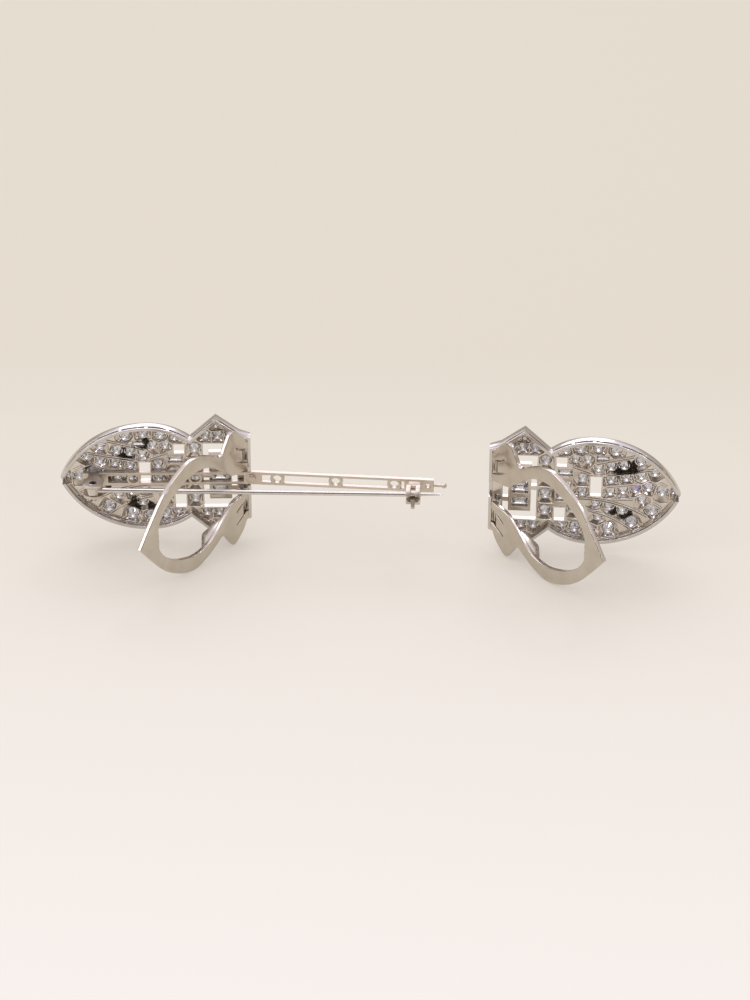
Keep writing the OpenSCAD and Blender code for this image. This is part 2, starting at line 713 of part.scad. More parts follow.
// Tapered pin with an eye on the rivet, lying straight through the catch
module pin_stem() color(bright) {
    eye = stood([pivot_at, 0, pivot_z]);
    from = [-eye.x, eye.y, eye.z];
    to = stood([catch_at, 0, catch_z]);
    d = to - from;
    length = norm(d) + pin_past;
    eye_w = bar_h - 2 * ear_t - 2 * ear_clear;
    difference() {
        union() {
            left_half() translate([pivot_at, 0, pivot_z]) rotate([90, 0, 0])
                cylinder(h = eye_w, r = eye_r, center = true);
            translate(from - origin) rotate([0, acos(d.z / norm(d)), atan2(d.y, d.x)]) {
                cylinder(h = length - taper, r = pin_r);
                translate([0, 0, length - taper]) cylinder(h = taper, r1 = pin_r, r2 = point_r);
            }
        }
        left_half() translate([pivot_at, 0, pivot_z]) rotate([90, 0, 0])
            cylinder(h = 4, r = rivet_r + run_gap, center = true);
    }
}

// Turning sleeve of the catch with its thumb tab
module catch_sleeve() color(bright) right_half() translate([catch_at, 0, catch_z]) rotate([0, 90, 0])
    difference() {
        union() {
            cylinder(h = catch_length, r = sleeve_out, center = true);
            rotate([0, 0, -90 - tab_angle]) translate([0, -tab_t / 2, -tab_w / 2])
                cube([catch_r + tab_reach, tab_t, tab_w]);
        }
        cylinder(h = catch_length + 2, r = sleeve_in, center = true);
        translate([-3, -mouth / 2, -2]) cube([3, mouth, 4]);
    }

module left_setting() color(metal) left_clip() setting();
module left_round_stones() color(diamond) left_clip() round_stones();
module left_head_baguettes() color(diamond) left_clip() baguettes(HEAD_BAGUETTES, head_length, head_half);
module left_leaf_baguettes() color(diamond) left_clip()
    baguettes(LEAF_BAGUETTES, leaf_length, leaf_half, head_length);
module left_lever() color(bright) left_clip() lever(left_open);
module right_setting() color(metal) right_clip() setting();
module right_round_stones() color(diamond) right_clip() round_stones();
module right_head_baguettes() color(diamond) right_clip() baguettes(HEAD_BAGUETTES, head_length, head_half);
module right_leaf_baguettes() color(diamond) right_clip()
    baguettes(LEAF_BAGUETTES, leaf_length, leaf_half, head_length);
module right_lever() color(bright) right_clip() lever(right_open);

left_setting();
left_round_stones();
left_head_baguettes();
left_leaf_baguettes();
left_lever();
right_setting();
right_round_stones();
right_head_baguettes();
right_leaf_baguettes();
right_lever();
frame_bar();
pin_rivet();
pin_stem();
catch_sleeve();
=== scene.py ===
"""Double clip brooch, seen from the back: one clip on its pin frame and one slid off.

Every piece is drawn in its jewel's own axes in millimetres, with u from the flat end to the tip,
v up and w out of the back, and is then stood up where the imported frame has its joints.
"""
import functools
import json
import math

import bmesh
import bpy
from mathutils import Matrix, Vector
from mathutils.geometry import delaunay_2d_cdt


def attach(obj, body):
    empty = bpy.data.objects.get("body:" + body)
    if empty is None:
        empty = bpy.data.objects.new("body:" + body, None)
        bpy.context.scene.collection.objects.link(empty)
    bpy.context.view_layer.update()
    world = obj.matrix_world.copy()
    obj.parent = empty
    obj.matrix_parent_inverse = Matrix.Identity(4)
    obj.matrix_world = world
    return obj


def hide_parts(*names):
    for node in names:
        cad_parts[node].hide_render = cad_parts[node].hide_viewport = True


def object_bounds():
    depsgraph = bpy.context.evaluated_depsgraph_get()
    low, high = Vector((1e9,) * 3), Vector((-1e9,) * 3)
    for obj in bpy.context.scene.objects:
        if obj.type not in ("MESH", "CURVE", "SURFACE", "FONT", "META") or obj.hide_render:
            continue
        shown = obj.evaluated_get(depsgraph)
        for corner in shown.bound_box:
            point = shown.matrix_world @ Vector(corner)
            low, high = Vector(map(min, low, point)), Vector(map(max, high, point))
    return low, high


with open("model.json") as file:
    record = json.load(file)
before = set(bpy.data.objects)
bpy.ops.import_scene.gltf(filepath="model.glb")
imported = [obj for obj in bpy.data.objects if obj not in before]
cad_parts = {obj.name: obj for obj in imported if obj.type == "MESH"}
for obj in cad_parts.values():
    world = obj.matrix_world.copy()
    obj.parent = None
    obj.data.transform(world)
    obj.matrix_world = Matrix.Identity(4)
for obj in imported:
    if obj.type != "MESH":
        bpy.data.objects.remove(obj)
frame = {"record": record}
cad_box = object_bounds()
joints = {j["name"]: j for j in frame["record"]["behaviour"]["joints"]}
MM = 0.001

# Sizes, in millimetres

# A clip's outline: the flat end, shoulder and peak of its head, then a leaf of two arcs a side
CLIP_LENGTH = 30
LEAF_HALF = 9.4
LEAF_WIDEST = 16.2
NEAR_R = 10.9
FAR_R = ((CLIP_LENGTH - LEAF_WIDEST) ** 2 + LEAF_HALF**2) / (2 * LEAF_HALF)
HEAD_LENGTH = 9.5
HEAD_HALF = 10.9
PEAK_AT = 5.4
SHOULDER = (1.8, 8.1)
FLAT_HALF = 7.4

# Heights in a setting, down from the back of its rim; what lies under the bar stays at LOW_TOP
RIM_DEPTH = 1.9
FRONT = -RIM_DEPTH
CELL_TOP = -1.1
RIB_TOP = -0.93
LOW_TOP = -0.99
GALLERY = (-0.65, -0.35)

# The rim: its wall, the roundness of its edges, the slots of its gallery, its notches at the flat end
# and at the tip, and how far a notch's low wall runs past each
RIM_WALL = 0.55
RIM_ROUND, RAIL_ROUND = 0.07, 0.13
GALLERY_POST = 0.5
GALLERY_COUNT = 6
GALLERY_END = 0.8
FLAT_NOTCH, FLAT_LAP = 1.33, 0.2
TIP_NOTCH, TIP_LAP = 0.65, 0.1
RIM_FINE = 400

# The cells: how far they spread past a stone along and across its row, and the metal left beside them
CELL_SPREAD = (0.52, 0.85)
CELL_WALL_HALF = 0.09
CELL_TO_HEAD_EDGE, CELL_TO_LEAF_EDGE = 0.05, 0.06
CELL_TO_WINDOW = 0.24
CELL_TO_RIB = 0.12
CELL_LEAST = 0.04
# How far past a stone its neighbours still cut its cell, and how far the leaf's arcs overlap
LOOK_AROUND, STONES_AROUND, ARC_LAP = 1.4, 2.4, 2
# A cell's shaft from back to front: share of the way from square to round, spread, height
CELL_LEVELS = [
    (0, 0.03, CELL_TOP), (0, 0, CELL_TOP - 0.04), (0.04, 0, CELL_TOP - 0.34), (0.6, 0, CELL_TOP - 0.5),
    (1, 0, CELL_TOP - 0.6), (1, 0, FRONT + 0.04), (1, 0.04, FRONT),
]
# The shafts of step-cut stones and of windows, from back to front: spread, height
BOX_LEVELS = [(0.06, CELL_TOP), (0.03, CELL_TOP - 0.04), (0.03, FRONT + 0.04), (0.05, FRONT + 0.02)]
WINDOW_LEVELS = [(0.03, CELL_TOP), (0, CELL_TOP - 0.04), (0, FRONT + 0.05), (0.03, FRONT + 0.02)]

# Ribs of two thin walls, and the fences around windows, channels and step-cut stones
RIB_HALF = 0.17
RIB_WALL, FENCE_WALL, LINING_WALL = 0.15, 0.18, 0.12
FENCE_OFF, WINDOW_FENCE_OFF, LINING_OFF = 0.13, 0.12, 0.1
WALL_ROUND = 0.05

# Stones: the gap round each, the wall between two, and the height of their girdles
STONE_GAP = 0.07
STONE_WALL = 0.16
EDGE_CLEAR = 0.12
SEAT = FRONT + 0.02
SEAT_GAP = 0.045
PAVILION_MOST = 0.88
# Steps of a step-cut stone on its back and its front: inset and height as shares of its width
BACK_STEPS = [(0.48, 0.4), (0.34, 0.33), (0.16, 0.2), (0, 0)]
FRONT_STEPS = [(0, 0), (0.1, 0.1), (0.24, 0.2)]
STEP_GIRDLE = 0.1

# Grains over the stones' edges on the front; then the ground's grains and the rim's beads, each as
# radius and rise, with their pitches and how deep they sink into the metal
GRAIN_R, TINY_GRAIN_R, TINY_STONE = 0.15, 0.09, 0.5
GRAIN_OUT, GRAIN_SUNK, GRAIN_RISE = 0.03, 0.04, 0.08
GROUND_PITCH, GROUND_ROWS, GROUND_ROOM, GROUND_SUNK = 0.6, 0.87, 0.22, 0.02
GROUND_GRAIN = (0.19, 0.12)
BEAD_PITCH, BEAD_SHARE, BEAD_SUNK = 0.4, 0.45, 0.05
BEAD = (0.16, 0.17)

# The lever's hinge: rods, posts and knuckles, measured out from the middle line
HINGE_AT, HINGE_DEEP = 1.6, 0.2
ROD_R, ROD_DOME = 0.4, 0.16
POST_IN, KNUCKLE_IN, KNUCKLE_OUT, POST_OUT = 2.05, 3.6, 5.8, 7.1
POST_FOOT, POST_SET_IN, KNUCKLE_CLEAR = -1.35, 0.03, 0.14
KNUCKLE_R, KNUCKLE_WALL = 0.62, 0.34
# A knuckle's roll round the rod, in degrees from the lever's plane
ROLL_START, ROLL_TURN, ROLL_STEPS = 80, 252, 18

# The lever's sheet, its slits and its teeth
LEVER_LENGTH, LEVER_HALF, LEVER_T = 25.2, 10, 0.75
LEVER_EDGE, LEVER_STEP = 0.14, 0.3
LEVER_BACK, LEVER_BACK_ENDS = 0.35, (0.2, 0.7)
LEVER_UNDER = 0.5
LEVER_OPEN = {"left": 51, "right": 46}
SLITS = (3.54, 5.86)
SLIT_HALF = 0.137
SLIT_START, SLIT_END, SLIT_POINT = -1, 2.6, 0.1
SLIT_LEAN, SLIT_SPREAD, SLIT_BOW = 0.35, 1.25, 0.9
TONGUE_CUT, TONGUE_ROUND = 0.9, 0.08
TOOTH_DEEP = 1.8
TOOTH_FACE = (0.35, 0.95)

# The frame: the gap from its middle to a clip's flat end, and how far the right clip is drawn off it
MIDDLE_GAP, PARTED = 0.25, 37
# Its two pierced bars: half width, thickness, height of the back, lengths and holes
BAR_HALF, BAR_T, BAR_BACK, BAR_EDGE = 1.13, 0.85, -0.1, 0.1
LEFT_BAR, RIGHT_BAR = 26.7, 28.6
BAR_RAIL, BAR_END = 0.42, 1.4
HOLE_R = 0.7
LEFT_HOLES, RIGHT_HOLES = (9, 18.7), (3.9, 13.15, 22.4)
END_HOLE_IN, END_HOLE_R = 0.9, 0.4
# The fork on the left bar: the pin's line, and an ear's length, neck, faces and top
PIVOT_AT, PIVOT_Z = 24.9, 2.8
EAR, EAR_NECK, EAR_IN, EAR_OUT, EAR_R = 3.2, 0.7, 0.73, 1.13, 1.15
EAR_NECK_TOP, EAR_FOOT_TOP, EAR_HOLE_R = 0.8, 1.4, 0.42
# The catch on the right bar: its line, its drum, the sleeve inside and half of the mouth
CATCH_AT, CATCH_Z, CATCH_R, CATCH_LENGTH = 25.6, 2.4, 1.6, 2.2
CATCH_MIDDLE = 0.76
SLEEVE_IN, SLEEVE_OUT = 0.55, 0.97
MOUTH = 0.48
TAB_ANGLE, TAB_HALF = 32, 0.3
# The pin's stem, its eye, and how far it runs past the catch
PIN_R, POINT_R, TAPER, PIN_PAST = 0.4, 0.1, 6.5, 4.6
EYE_R, EYE_BORE, EYE_HALF = 0.95, 0.45, 0.65

# A corner that moves with its line runs out no further than this lets it
MITRE_LEAST = 0.45

# Rows of round stones: start along and across, end along and across, number, radius. Places are shares
# of the head's or the clip's length and half height, and radii and lengths are in millimetres.
HEAD_ROWS = [
    (0.34, 0.65, 0.745, 0.65, 3, 0.8),
    (0.565, 0.825, 0.565, 0.825, 1, 0.58),
    (0.34, -0.65, 0.745, -0.65, 3, 0.8),
    (0.565, -0.825, 0.565, -0.825, 1, 0.58),
    (0.93, 0.44, 0.93, -0.4, 4, 0.93),
]
LEAF_ROWS = [
    (0.447, 0.57, 0.511, 0.565, 2, 0.76),
    (0.567, 0.415, 0.698, 0.478, 3, 0.83),
    (0.633, 0.2, 0.79, 0.298, 3, 0.86),
    (0.633, -0.04, 0.83, 0.075, 4, 0.84),
    (0.8, -0.18, 0.8, -0.18, 1, 0.8),
    (0.56, -0.26, 0.7, -0.4, 3, 0.84),
    (0.487, 0.2, 0.487, -0.075, 2, 0.84),
    (0.44, -0.415, 0.44, -0.415, 1, 0.8),
    (0.575, -0.53, 0.575, -0.53, 1, 0.9),
    (0.413, 0.06, 0.413, 0.06, 1, 0.58),
    (0.903, 0.005, 0.903, 0.005, 1, 1),
    (0.96, 0, 0.96, 0, 1, 0.38),
]
# Round stones along the leaf's edges: side, start and end along, number, radius
EDGE_ROWS = [
    (1, 0.394, 0.394, 1, 0.75),
    (1, 0.468, 0.655, 3, 1),
    (1, 0.785, 0.86, 2, 0.95),
    (-1, 0.388, 0.388, 1, 0.75),
    (-1, 0.455, 0.535, 2, 0.95),
    (-1, 0.63, 0.855, 3, 1.12),
]
# Step-cut stones: middle along and across, length along and across
HEAD_BAGUETTES = [(0.513, 0.25, 2.5, 1.6), (0.513, 0, 2.5, 2.1), (0.513, -0.25, 2.5, 1.6)]
LEAF_BAGUETTES = [(0.395, 0.315, 2.3, 1.15), (0.385, -0.165, 2.1, 1.4), (0.587, 0.6235, 2, 0.98)]
LEAF_WINDOWS = [(0.375, 0.53, 1.7, 1.6), (0.557, 0.085, 1.75, 3.5), (0.372, -0.49, 1.75, 2.35)]
# The head's pierced window and the block inside it: lowest and highest along, half height
HEAD_WINDOW = (2.15, 7.485, 5.865)
HEAD_BLOCK = (3.05, 6.585, 4.365)
# The bridges that hold the block: half of the leaf's one, and the two sides of the flat end's pair
HEAD_BRIDGES = (0.4, 1.9, 2.7)
# Ribs: start along and across, end along and across, sideways bow
RIBS = [
    (0.43, 0.455, 0.53, 0.34, 0),
    (0.553, 0.52, 0.75, 0.69, 0),
    (0.61, 0.31, 0.85, 0.45, 0),
    (0.61, 0.08, 0.77, 0.16, 0),
    (0.46, -0.17, 0.83, -0.47, 0.9),
    (0.52, -0.4, 0.74, -0.72, 0.5),
    (0.415, -0.59, 0.51, -0.62, 0),
    (0.86, -0.2, 0.9, -0.29, 0),
    (0.64, -0.165, 0.755, -0.145, 0),
    (0.885, 0.205, 0.925, 0.14, 0),
]
# Places on each clip where old polish and wear have gone black: along, up, radius
BLACKENED = {
    "left": [
        (19.6, 4.0, 1.9), (16.4, 5.9, 1.2), (18.4, -5.3, 1.7), (15.6, -5.7, 1.3), (22.2, -2.1, 1.1)],
    "right": [(20.4, 3.8, 1.7), (21.9, 4.4, 1.6), (19.8, -3.6, 1.3), (21.6, -4.2, 1.6)],
}
# The lever by sections: distance as a share of its length, outer and inner half width as shares
LEVER_SECTIONS = [
    (0, 0.72, 0.2), (0.045, 0.89, 0.215), (0.13, 1.04, 0.25), (0.18, 0.91, 0.34),
    (0.235, 0.735, 0.45), (0.31, 0.83, 0.61), (0.39, 0.93, 0.71), (0.5, 1, 0.745),
    (0.6, 0.945, 0.68), (0.7, 0.82, 0.56), (0.78, 0.67, 0.4), (0.83, 0.54, 0.2),
    (0.835, 0.52, 0), (0.9, 0.325, 0), (1, 0, 0),
]
# The section where the loop's inner edge meets the middle line
LOOP_END = 12
# A tooth's start, point and end, as shares of the lever's length
TOOTH = (0.2, 0.33, 0.42)
# A tongue on its way down to the rod: distance from the hinge, height, thickness
TONGUE = [
    (2.3, 0.875, 0.66), (1.6, 0.88, 0.68), (1.15, 0.86, 0.66), (0.8, 0.82, 0.6), (0.5, 0.755, 0.5),
    (0.28, 0.69, 0.4),
]
# The catch's foot on the bar: height, half length, half width
DRUM_FOOT = [(-0.3, 1.0, 0.9), (0.0, 0.98, 0.72), (0.35, 0.97, 0.6), (1.1, 0.97, 0.55)]
# The pin's thick root past its eye: distance, radius
STEM_ROOT = [(0.72, 0.5), (1.0, 0.52), (1.5, 0.47), (2.4, PIN_R)]
# The tube rivet's spread end, from its edge to its bore: distance past the fork, radius
RIVET_COLLAR = [(0.12, 0.5), (0.08, 0.44), (-0.1, 0.33), (-0.7, 0.31), (-0.75, 0.02)]
RIVET_R, RIVET_SHANK, RIVET_RISE = 0.65, 0.4, 0.24
# The sleeve's thumb tab: distance from the middle, half width; then the round end's place and radius
TAB = [(0.75, 0.34), (1.5, 0.35), (1.95, 0.33)]
TAB_TIP, TAB_TIP_R = 2.0, 0.3
# The prong at the right bar's end with its ball, and the peg at the bar's start: distance, radius
PRONG = [(-0.3, 0.28), (1.25, 0.26), (1.4, 0.3)]
PRONG_BALL, PRONG_BALL_AT = 0.45, 1.6
PEG = [(-0.1, 0.6), (0.0, 0.7), (0.1, 0.75)]


# Where each jewel, its lever and its half of the frame stand
def jewel_axes(side):
    """Turns a clip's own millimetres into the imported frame's metres."""
    u = Vector(joints[side + "_clip_slide"]["axis"])
    hinge = joints[side + "_lever_hinge"]
    v = Vector(hinge["axis"]) * (1 if side == "left" else -1)
    w = u.cross(v) * (-1 if side == "left" else 1)
    at = Vector(hinge["pos_m"]) - (HINGE_AT * u - HINGE_DEEP * w) * MM
    return Matrix((u * MM, v * MM, w * MM)).transposed().to_4x4() + Matrix(
        ((0, 0, 0, at.x), (0, 0, 0, at.y), (0, 0, 0, at.z), (0, 0, 0, 0)))


clip_axes = {side: jewel_axes(side) for side in ("left", "right")}
lever_axes = {
    side: clip_axes[side] @ Matrix.Translation((HINGE_AT, 0, -HINGE_DEEP))
    @ Matrix.Rotation(math.radians(-LEVER_OPEN[side]), 4, "Y")
    for side in clip_axes
}
half_axes = {
    "left": clip_axes["left"] @ Matrix.Translation((-MIDDLE_GAP, 0, 0)),
    "right": clip_axes["right"] @ Matrix.Translation((-MIDDLE_GAP - PARTED, 0, 0)),
}


# Flat drawing
def between(a, b, t):
    return tuple(x + (y - x) * t for x, y in zip(a, b))


def edge_r(x):
    """Radius of the leaf's edge on this side of its widest place."""
    return NEAR_R if x < LEAF_WIDEST else FAR_R


def leaf_y(x, inset=0.0):
    """Half width of the leaf, or of a line inside its edge."""
    return math.sqrt((edge_r(x) - inset) ** 2 - (x - LEAF_WIDEST) ** 2) - edge_r(x) + LEAF_HALF


def along_leaf(x, inset=0.0):
    """Length along the edge from the leaf's widest place, less than 0 toward the head."""
    r = edge_r(x) - inset
    return math.asin((x - LEAF_WIDEST) / r) * r


def on_leaf(s, inset=0.0):
    """The point at a length along the edge."""
    r = NEAR_R if s < 0 else FAR_R
    turn = s / (r - inset)
    return (LEAF_WIDEST + (r - inset) * math.sin(turn), (r - inset) * math.cos(turn) - r + LEAF_HALF)


def tip_x(inset=0.0):
    """Where the two edges meet at the tip."""
    return LEAF_WIDEST + math.sqrt((FAR_R - inset) ** 2 - (FAR_R - LEAF_HALF) ** 2)


def drawn_in(a, b, wall):
    """The line from a to b moved to its right."""
    d = Vector((b[0] - a[0], b[1] - a[1])).normalized()
    return (a[0] + d.y * wall, a[1] - d.x * wall), (b[0] + d.y * wall, b[1] - d.x * wall)


def crossing(line, other):
    """The point where two lines cross."""
    (ax, ay), (bx, by) = line
    (cx, cy), (dx, dy) = other
    rx, ry, sx, sy = bx - ax, by - ay, dx - cx, dy - cy
    t = ((cx - ax) * sy - (cy - ay) * sx) / (rx * sy - ry * sx)
    return (ax + rx * t, ay + ry * t)


HEAD_POINTS = [(0, -FLAT_HALF), (0, FLAT_HALF), SHOULDER, (PEAK_AT, HEAD_HALF),
               (HEAD_LENGTH, leaf_y(HEAD_LENGTH))]


@functools.lru_cache(maxsize=None)
def head_corners(inset):
    """Corners of the upper half, from the middle of the flat end to the notch at the leaf."""
    lines = [drawn_in(a, b, inset) for a, b in zip(HEAD_POINTS, HEAD_POINTS[1:])]
    (ax, ay), (bx, by) = lines[3]
    # The notch is where the head's last line meets the leaf's arc, found by halving.
    low, high = PEAK_AT, LEAF_WIDEST
    for _ in range(30):
        x = (low + high) / 2
        if ay + (by - ay) * (x - ax) / (bx - ax) > leaf_y(x, inset):
            low = x
        else:
            high = x
    return [(inset, 0)] + [crossing(a, b) for a, b in zip(lines, lines[1:])] + [(low, leaf_y(low, inset))]


def rim_at(g, inset=0.0):
    """A point of the rim's upper half: 0 to 4 are the head's corners, and 4 to 5 the leaf's edge."""
    corners = head_corners(inset)
    if g < 4:
        k = int(g)
        return between(corners[k], corners[k + 1], g - k)
    start, end = along_leaf(corners[4][0], inset), along_leaf(tip_x(inset), inset)
    return on_leaf(start + (end - start) * (g - 4), inset)


def rim_steps(start, end, leaf_steps=72):
    """Places from start to end of the rim, with every corner and enough steps on the curve."""
    inner = [k for k in range(1, 5)] + [4 + k / leaf_steps for k in range(1, leaf_steps)]
    return [start] + [g for g in inner if start + 1e-4 < g < end - 1e-4] + [end]


def outline(inset):
    """The whole clip's edge, or a line inside it."""
    upper = [rim_at(g, inset) for g in rim_steps(0, 5)]
    return upper + [(x, -y) for x, y in reversed(upper[1:-1])]


def turned_loop(loop, anticlockwise=True):
    """A loop that runs the way that is asked for."""
    area = sum(a[0] * b[1] - b[0] * a[1] for a, b in zip(loop, loop[1:] + loop[:1]))
    return loop if (area > 0) == anticlockwise else loop[::-1]


def moved_in(loop, depth):
    """A loop moved to its left, into the metal."""
    moved = []
    for a, b, c in zip(loop[-1:] + loop[:-1], loop, loop[1:] + loop[:1]):
        d, e = Vector(b[:2]) - Vector(a[:2]), Vector(c[:2]) - Vector(b[:2])
        m, n = Vector((-d.y, d.x)).normalized(), Vector((-e.y, e.x)).normalized()
        p = Vector(b[:2]) + (m + n) * (depth / max(MITRE_LEAST, 1 + m.dot(n)))
        moved.append((p.x, p.y))
    return moved


def rounded(x0, x1, y0, y1, r, steps=3):
    """A rectangle with rounded corners."""
    corners = ((x1 - r, y1 - r, 0), (x0 + r, y1 - r, 90), (x0 + r, y0 + r, 180), (x1 - r, y0 + r, 270))
    return [
        (x + r * math.cos(math.radians(start + 90 * k / steps)),
         y + r * math.sin(math.radians(start + 90 * k / steps)))
        for x, y, start in corners for k in range(steps + 1)
    ]


def round_hole(x, y, r, steps=32):
    """A circle's loop."""
    return [(x + r * math.cos(2 * math.pi * k / steps), y + r * math.sin(2 * math.pi * k / steps))
            for k in range(steps)]


def arc(x, y, r, start, end, steps):
    """Points of an arc between two angles in degrees."""
    return [(x + r * math.cos(math.radians(start + (end - start) * k / steps)),
             y + r * math.sin(math.radians(start + (end - start) * k / steps))) for k in range(steps + 1)]


# Solids, each as its corners and faces
def skinned(rings, closed=False):
    """A skin through rings of equal count, closed on itself or with a face on each end."""
    n, m = len(rings[0]), len(rings)
    corners = [p for ring in rings for p in ring]
    faces = [
        (i * n + k, i * n + (k + 1) % n, (i + 1) % m * n + (k + 1) % n, (i + 1) % m * n + k)
        for i in range(m if closed else m - 1) for k in range(n)
    ]
    if not closed:
        faces += [tuple(reversed(range(n))), tuple(range((m - 1) * n, m * n))]
    return corners, faces


def filled(loops):
    """Triangles inside the first loop and outside the others."""
    points = [Vector(p[:2]) for loop in loops for p in loop]
    loop_of, edges = [], []
    for n, loop in enumerate(loops):
        start = len(loop_of)
        edges += [(start + k, start + (k + 1) % len(loop)) for k in range(len(loop))]
        loop_of += [n] * len(loop)
    _, _, faces, origin, _, _ = delaunay_2d_cdt(points, edges, [], 1, 1e-6)
    kept = []
    for face in faces:
        ids = [origin[k][0] for k in face]
        n = loop_of[ids[0]]
        if n > 0 and all(loop_of[k] == n for k in ids):
            middle = sum((points[k] for k in ids), Vector((0, 0))) / 3
            if inside(middle, loops[n]):
                continue
        kept.append(tuple(ids))
    return kept


def inside(point, loop):
    """Whether a point lies inside a loop, by counting the edges to its right."""
    hit = False
    for (ax, ay), (bx, by) in zip([p[:2] for p in loop], [p[:2] for p in loop[1:] + loop[:1]]):
        if (ay > point[1]) != (by > point[1]) and point[0] < (bx - ax) * (point[1] - ay) / (by - ay) + ax:
            hit = not hit
    return hit


def pierced(shafts):
    """A sheet from stacks of rings, back to front: the first is its edge, the others go through it."""
    corners, faces, tops, bottoms = [], [], [], []
    for rings in shafts:
        n, base = len(rings[0]), len(corners)
        corners += [p for ring in rings for p in ring]
        for i in range(len(rings) - 1):
            a, b = base + i * n, base + (i + 1) * n
            faces += [(a + k, a + (k + 1) % n, b + (k + 1) % n, b + k) for k in range(n)]
        tops += range(base, base + n)
        bottoms += range(base + (len(rings) - 1) * n, base + len(rings) * n)
    faces += [tuple(tops[k] for k in f) for f in filled([rings[0] for rings in shafts])]
    faces += [tuple(bottoms[k] for k in f) for f in filled([rings[-1] for rings in shafts])]
    return corners, faces


def sheet(loops, low, high, edge, steps=3):
    """A sheet with rounded edges: the first loop is its outline, the others are holes."""
    shafts = []
    for n, loop in enumerate(loops):
        loop = turned_loop(list(loop), n == 0)
        turns = [math.pi / 2 * k / steps for k in range(steps + 1)]
        levels = [(edge * (1 - math.sin(t)), high - edge * (1 - math.cos(t))) for t in turns]
        levels += [(inset, low + high - z) for inset, z in reversed(levels)]
        shafts.append([[(x, y, z) for x, y in moved_in(loop, inset)] for inset, z in levels])
    return pierced(shafts)


def swung(solid, pick):
    """A solid with every corner put through a function."""
    corners, faces = solid
    return [pick(*p) for p in corners], faces


def turned(profile, at, along, steps=28):
    """A lathe-turned solid from (distance, radius) pairs on a line through a point."""
    at, along = Vector(at), Vector(along).normalized()
    side = along.orthogonal().normalized()
    other = along.cross(side)
    rings = []
    for t, r in profile:
        rings.append([
            tuple(at + along * t + r * (math.cos(a) * side + math.sin(a) * other))
            for a in (2 * math.pi * k / steps for k in range(steps))
        ])
    return skinned(rings)


def domed(r, rise, steps=4):
    """Distance and radius of a dome, from its foot to its top."""
    return [(rise * math.sin(t), max(0.02, r * math.cos(t)))
            for t in (math.pi / 2 * k / steps for k in range(steps + 1))]


def made(name, solids, axes, body, material, stands_for=(), sharp=32, values=None):
    """A piece of the object from solids, with outward faces and smooth rounds.

    Edges turned by more than the sharp angle stay crisp, and with 0 every facet is flat. Values give
    its material a measure for each corner.
    """
    corners, faces = [], []
    for points, polygons in solids:
        base = len(corners)
        corners += points
        faces += [tuple(base + k for k in f) for f in polygons]
    mesh = bpy.data.meshes.new(name)
    mesh.from_pydata([axes @ Vector(p) for p in corners], [], faces)
    form = bmesh.new()
    form.from_mesh(mesh)
    bmesh.ops.recalc_face_normals(form, faces=form.faces)
    form.to_mesh(mesh)
    form.free()
    if sharp:
        mesh.shade_smooth()
        mesh.set_sharp_from_angle(angle=math.radians(sharp))
    if values:
        for label, worth in values.items():
            layer = mesh.attributes.new(label, "FLOAT", "POINT")
            layer.data.foreach_set("value", [worth(p) for p in corners])
    piece = bpy.data.objects.new(name, mesh)
    bpy.context.scene.collection.objects.link(piece)
    mesh.materials.append(material)
    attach(piece, body)
    if stands_for:
        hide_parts(*stands_for)
    return piece


# Materials
def linear(code):
    """An sRGB hex value as linear light."""
    parts = [int(code[k:k + 2], 16) / 255 for k in (1, 3, 5)]
    return [c / 12.92 if c <= 0.04045 else ((c + 0.055) / 1.055) ** 2.4 for c in parts] + [1]


def node(tree, kind, inputs, **settings):
    """Adds a node with its settings, and links its inputs or sets them."""
    made_node = tree.nodes.new("ShaderNode" + kind)
    for key, value in settings.items():
        setattr(made_node, key, value)
    for key, value in inputs.items():
        if isinstance(value, bpy.types.NodeSocket):
            tree.links.new(value, made_node.inputs[key])
        else:
            made_node.inputs[key].default_value = value
    return made_node


def worked_metal(name, light, dark, roughness, blotch_mm, grain_mm, grain_high_mm, stretch=(1, 1, 1)):
    """A metal: cloudy colour and gloss from handling, and fine grain from its tool.

    Real tool marks are under 0.05 mm apart. They are drawn at 0.15 to 0.25 mm, so that they show.
    """
    material = bpy.data.materials.new(name)
    material.use_nodes = True
    tree = material.node_tree
    tree.nodes.clear()
    place = node(tree, "TexCoord", {}).outputs["Object"]
    clouds = node(tree, "TexNoise", {"Vector": place, "Scale": 1 / (blotch_mm * MM), "Detail": 4.0})
    drawn = node(tree, "Mapping", {"Vector": place, "Scale": stretch})
    grain = node(tree, "TexNoise", {
        "Vector": drawn.outputs["Vector"], "Scale": 1 / (grain_mm * MM), "Detail": 3.0})
    colour = node(tree, "Mix", {"Factor": clouds.outputs["Fac"], "A": linear(dark), "B": linear(light)},
                  data_type="RGBA")
    gloss = node(tree, "MapRange", {
        "Value": clouds.outputs["Fac"], "From Min": 0.3, "From Max": 0.7,
        "To Min": roughness[0], "To Max": roughness[1]})
    relief = node(tree, "Bump", {
        "Height": grain.outputs["Fac"], "Distance": grain_high_mm * MM, "Strength": 1.0})
    shader = node(tree, "BsdfPrincipled", {
        "Base Color": colour.outputs["Result"], "Metallic": 1.0, "Roughness": gloss.outputs["Result"],
        "Normal": relief.outputs["Normal"]})
    node(tree, "OutputMaterial", {"Surface": shader.outputs["BSDF"]})
    return material


# Platinum, cast and polished: bright grey with a hint of warmth, and clouded by fine scratches.
polished_platinum = worked_metal("polished_platinum", "#DEDAD5", "#C6C0B9", (0.1, 0.2), 1.6, 0.25, 0.002)
# White gold sheet, filed and satin finished by wear: warmer and softer than the platinum.
satin_white_gold = worked_metal("satin_white_gold", "#D6CEC1", "#B8AE9F", (0.13, 0.24), 2.4, 0.2, 0.002)
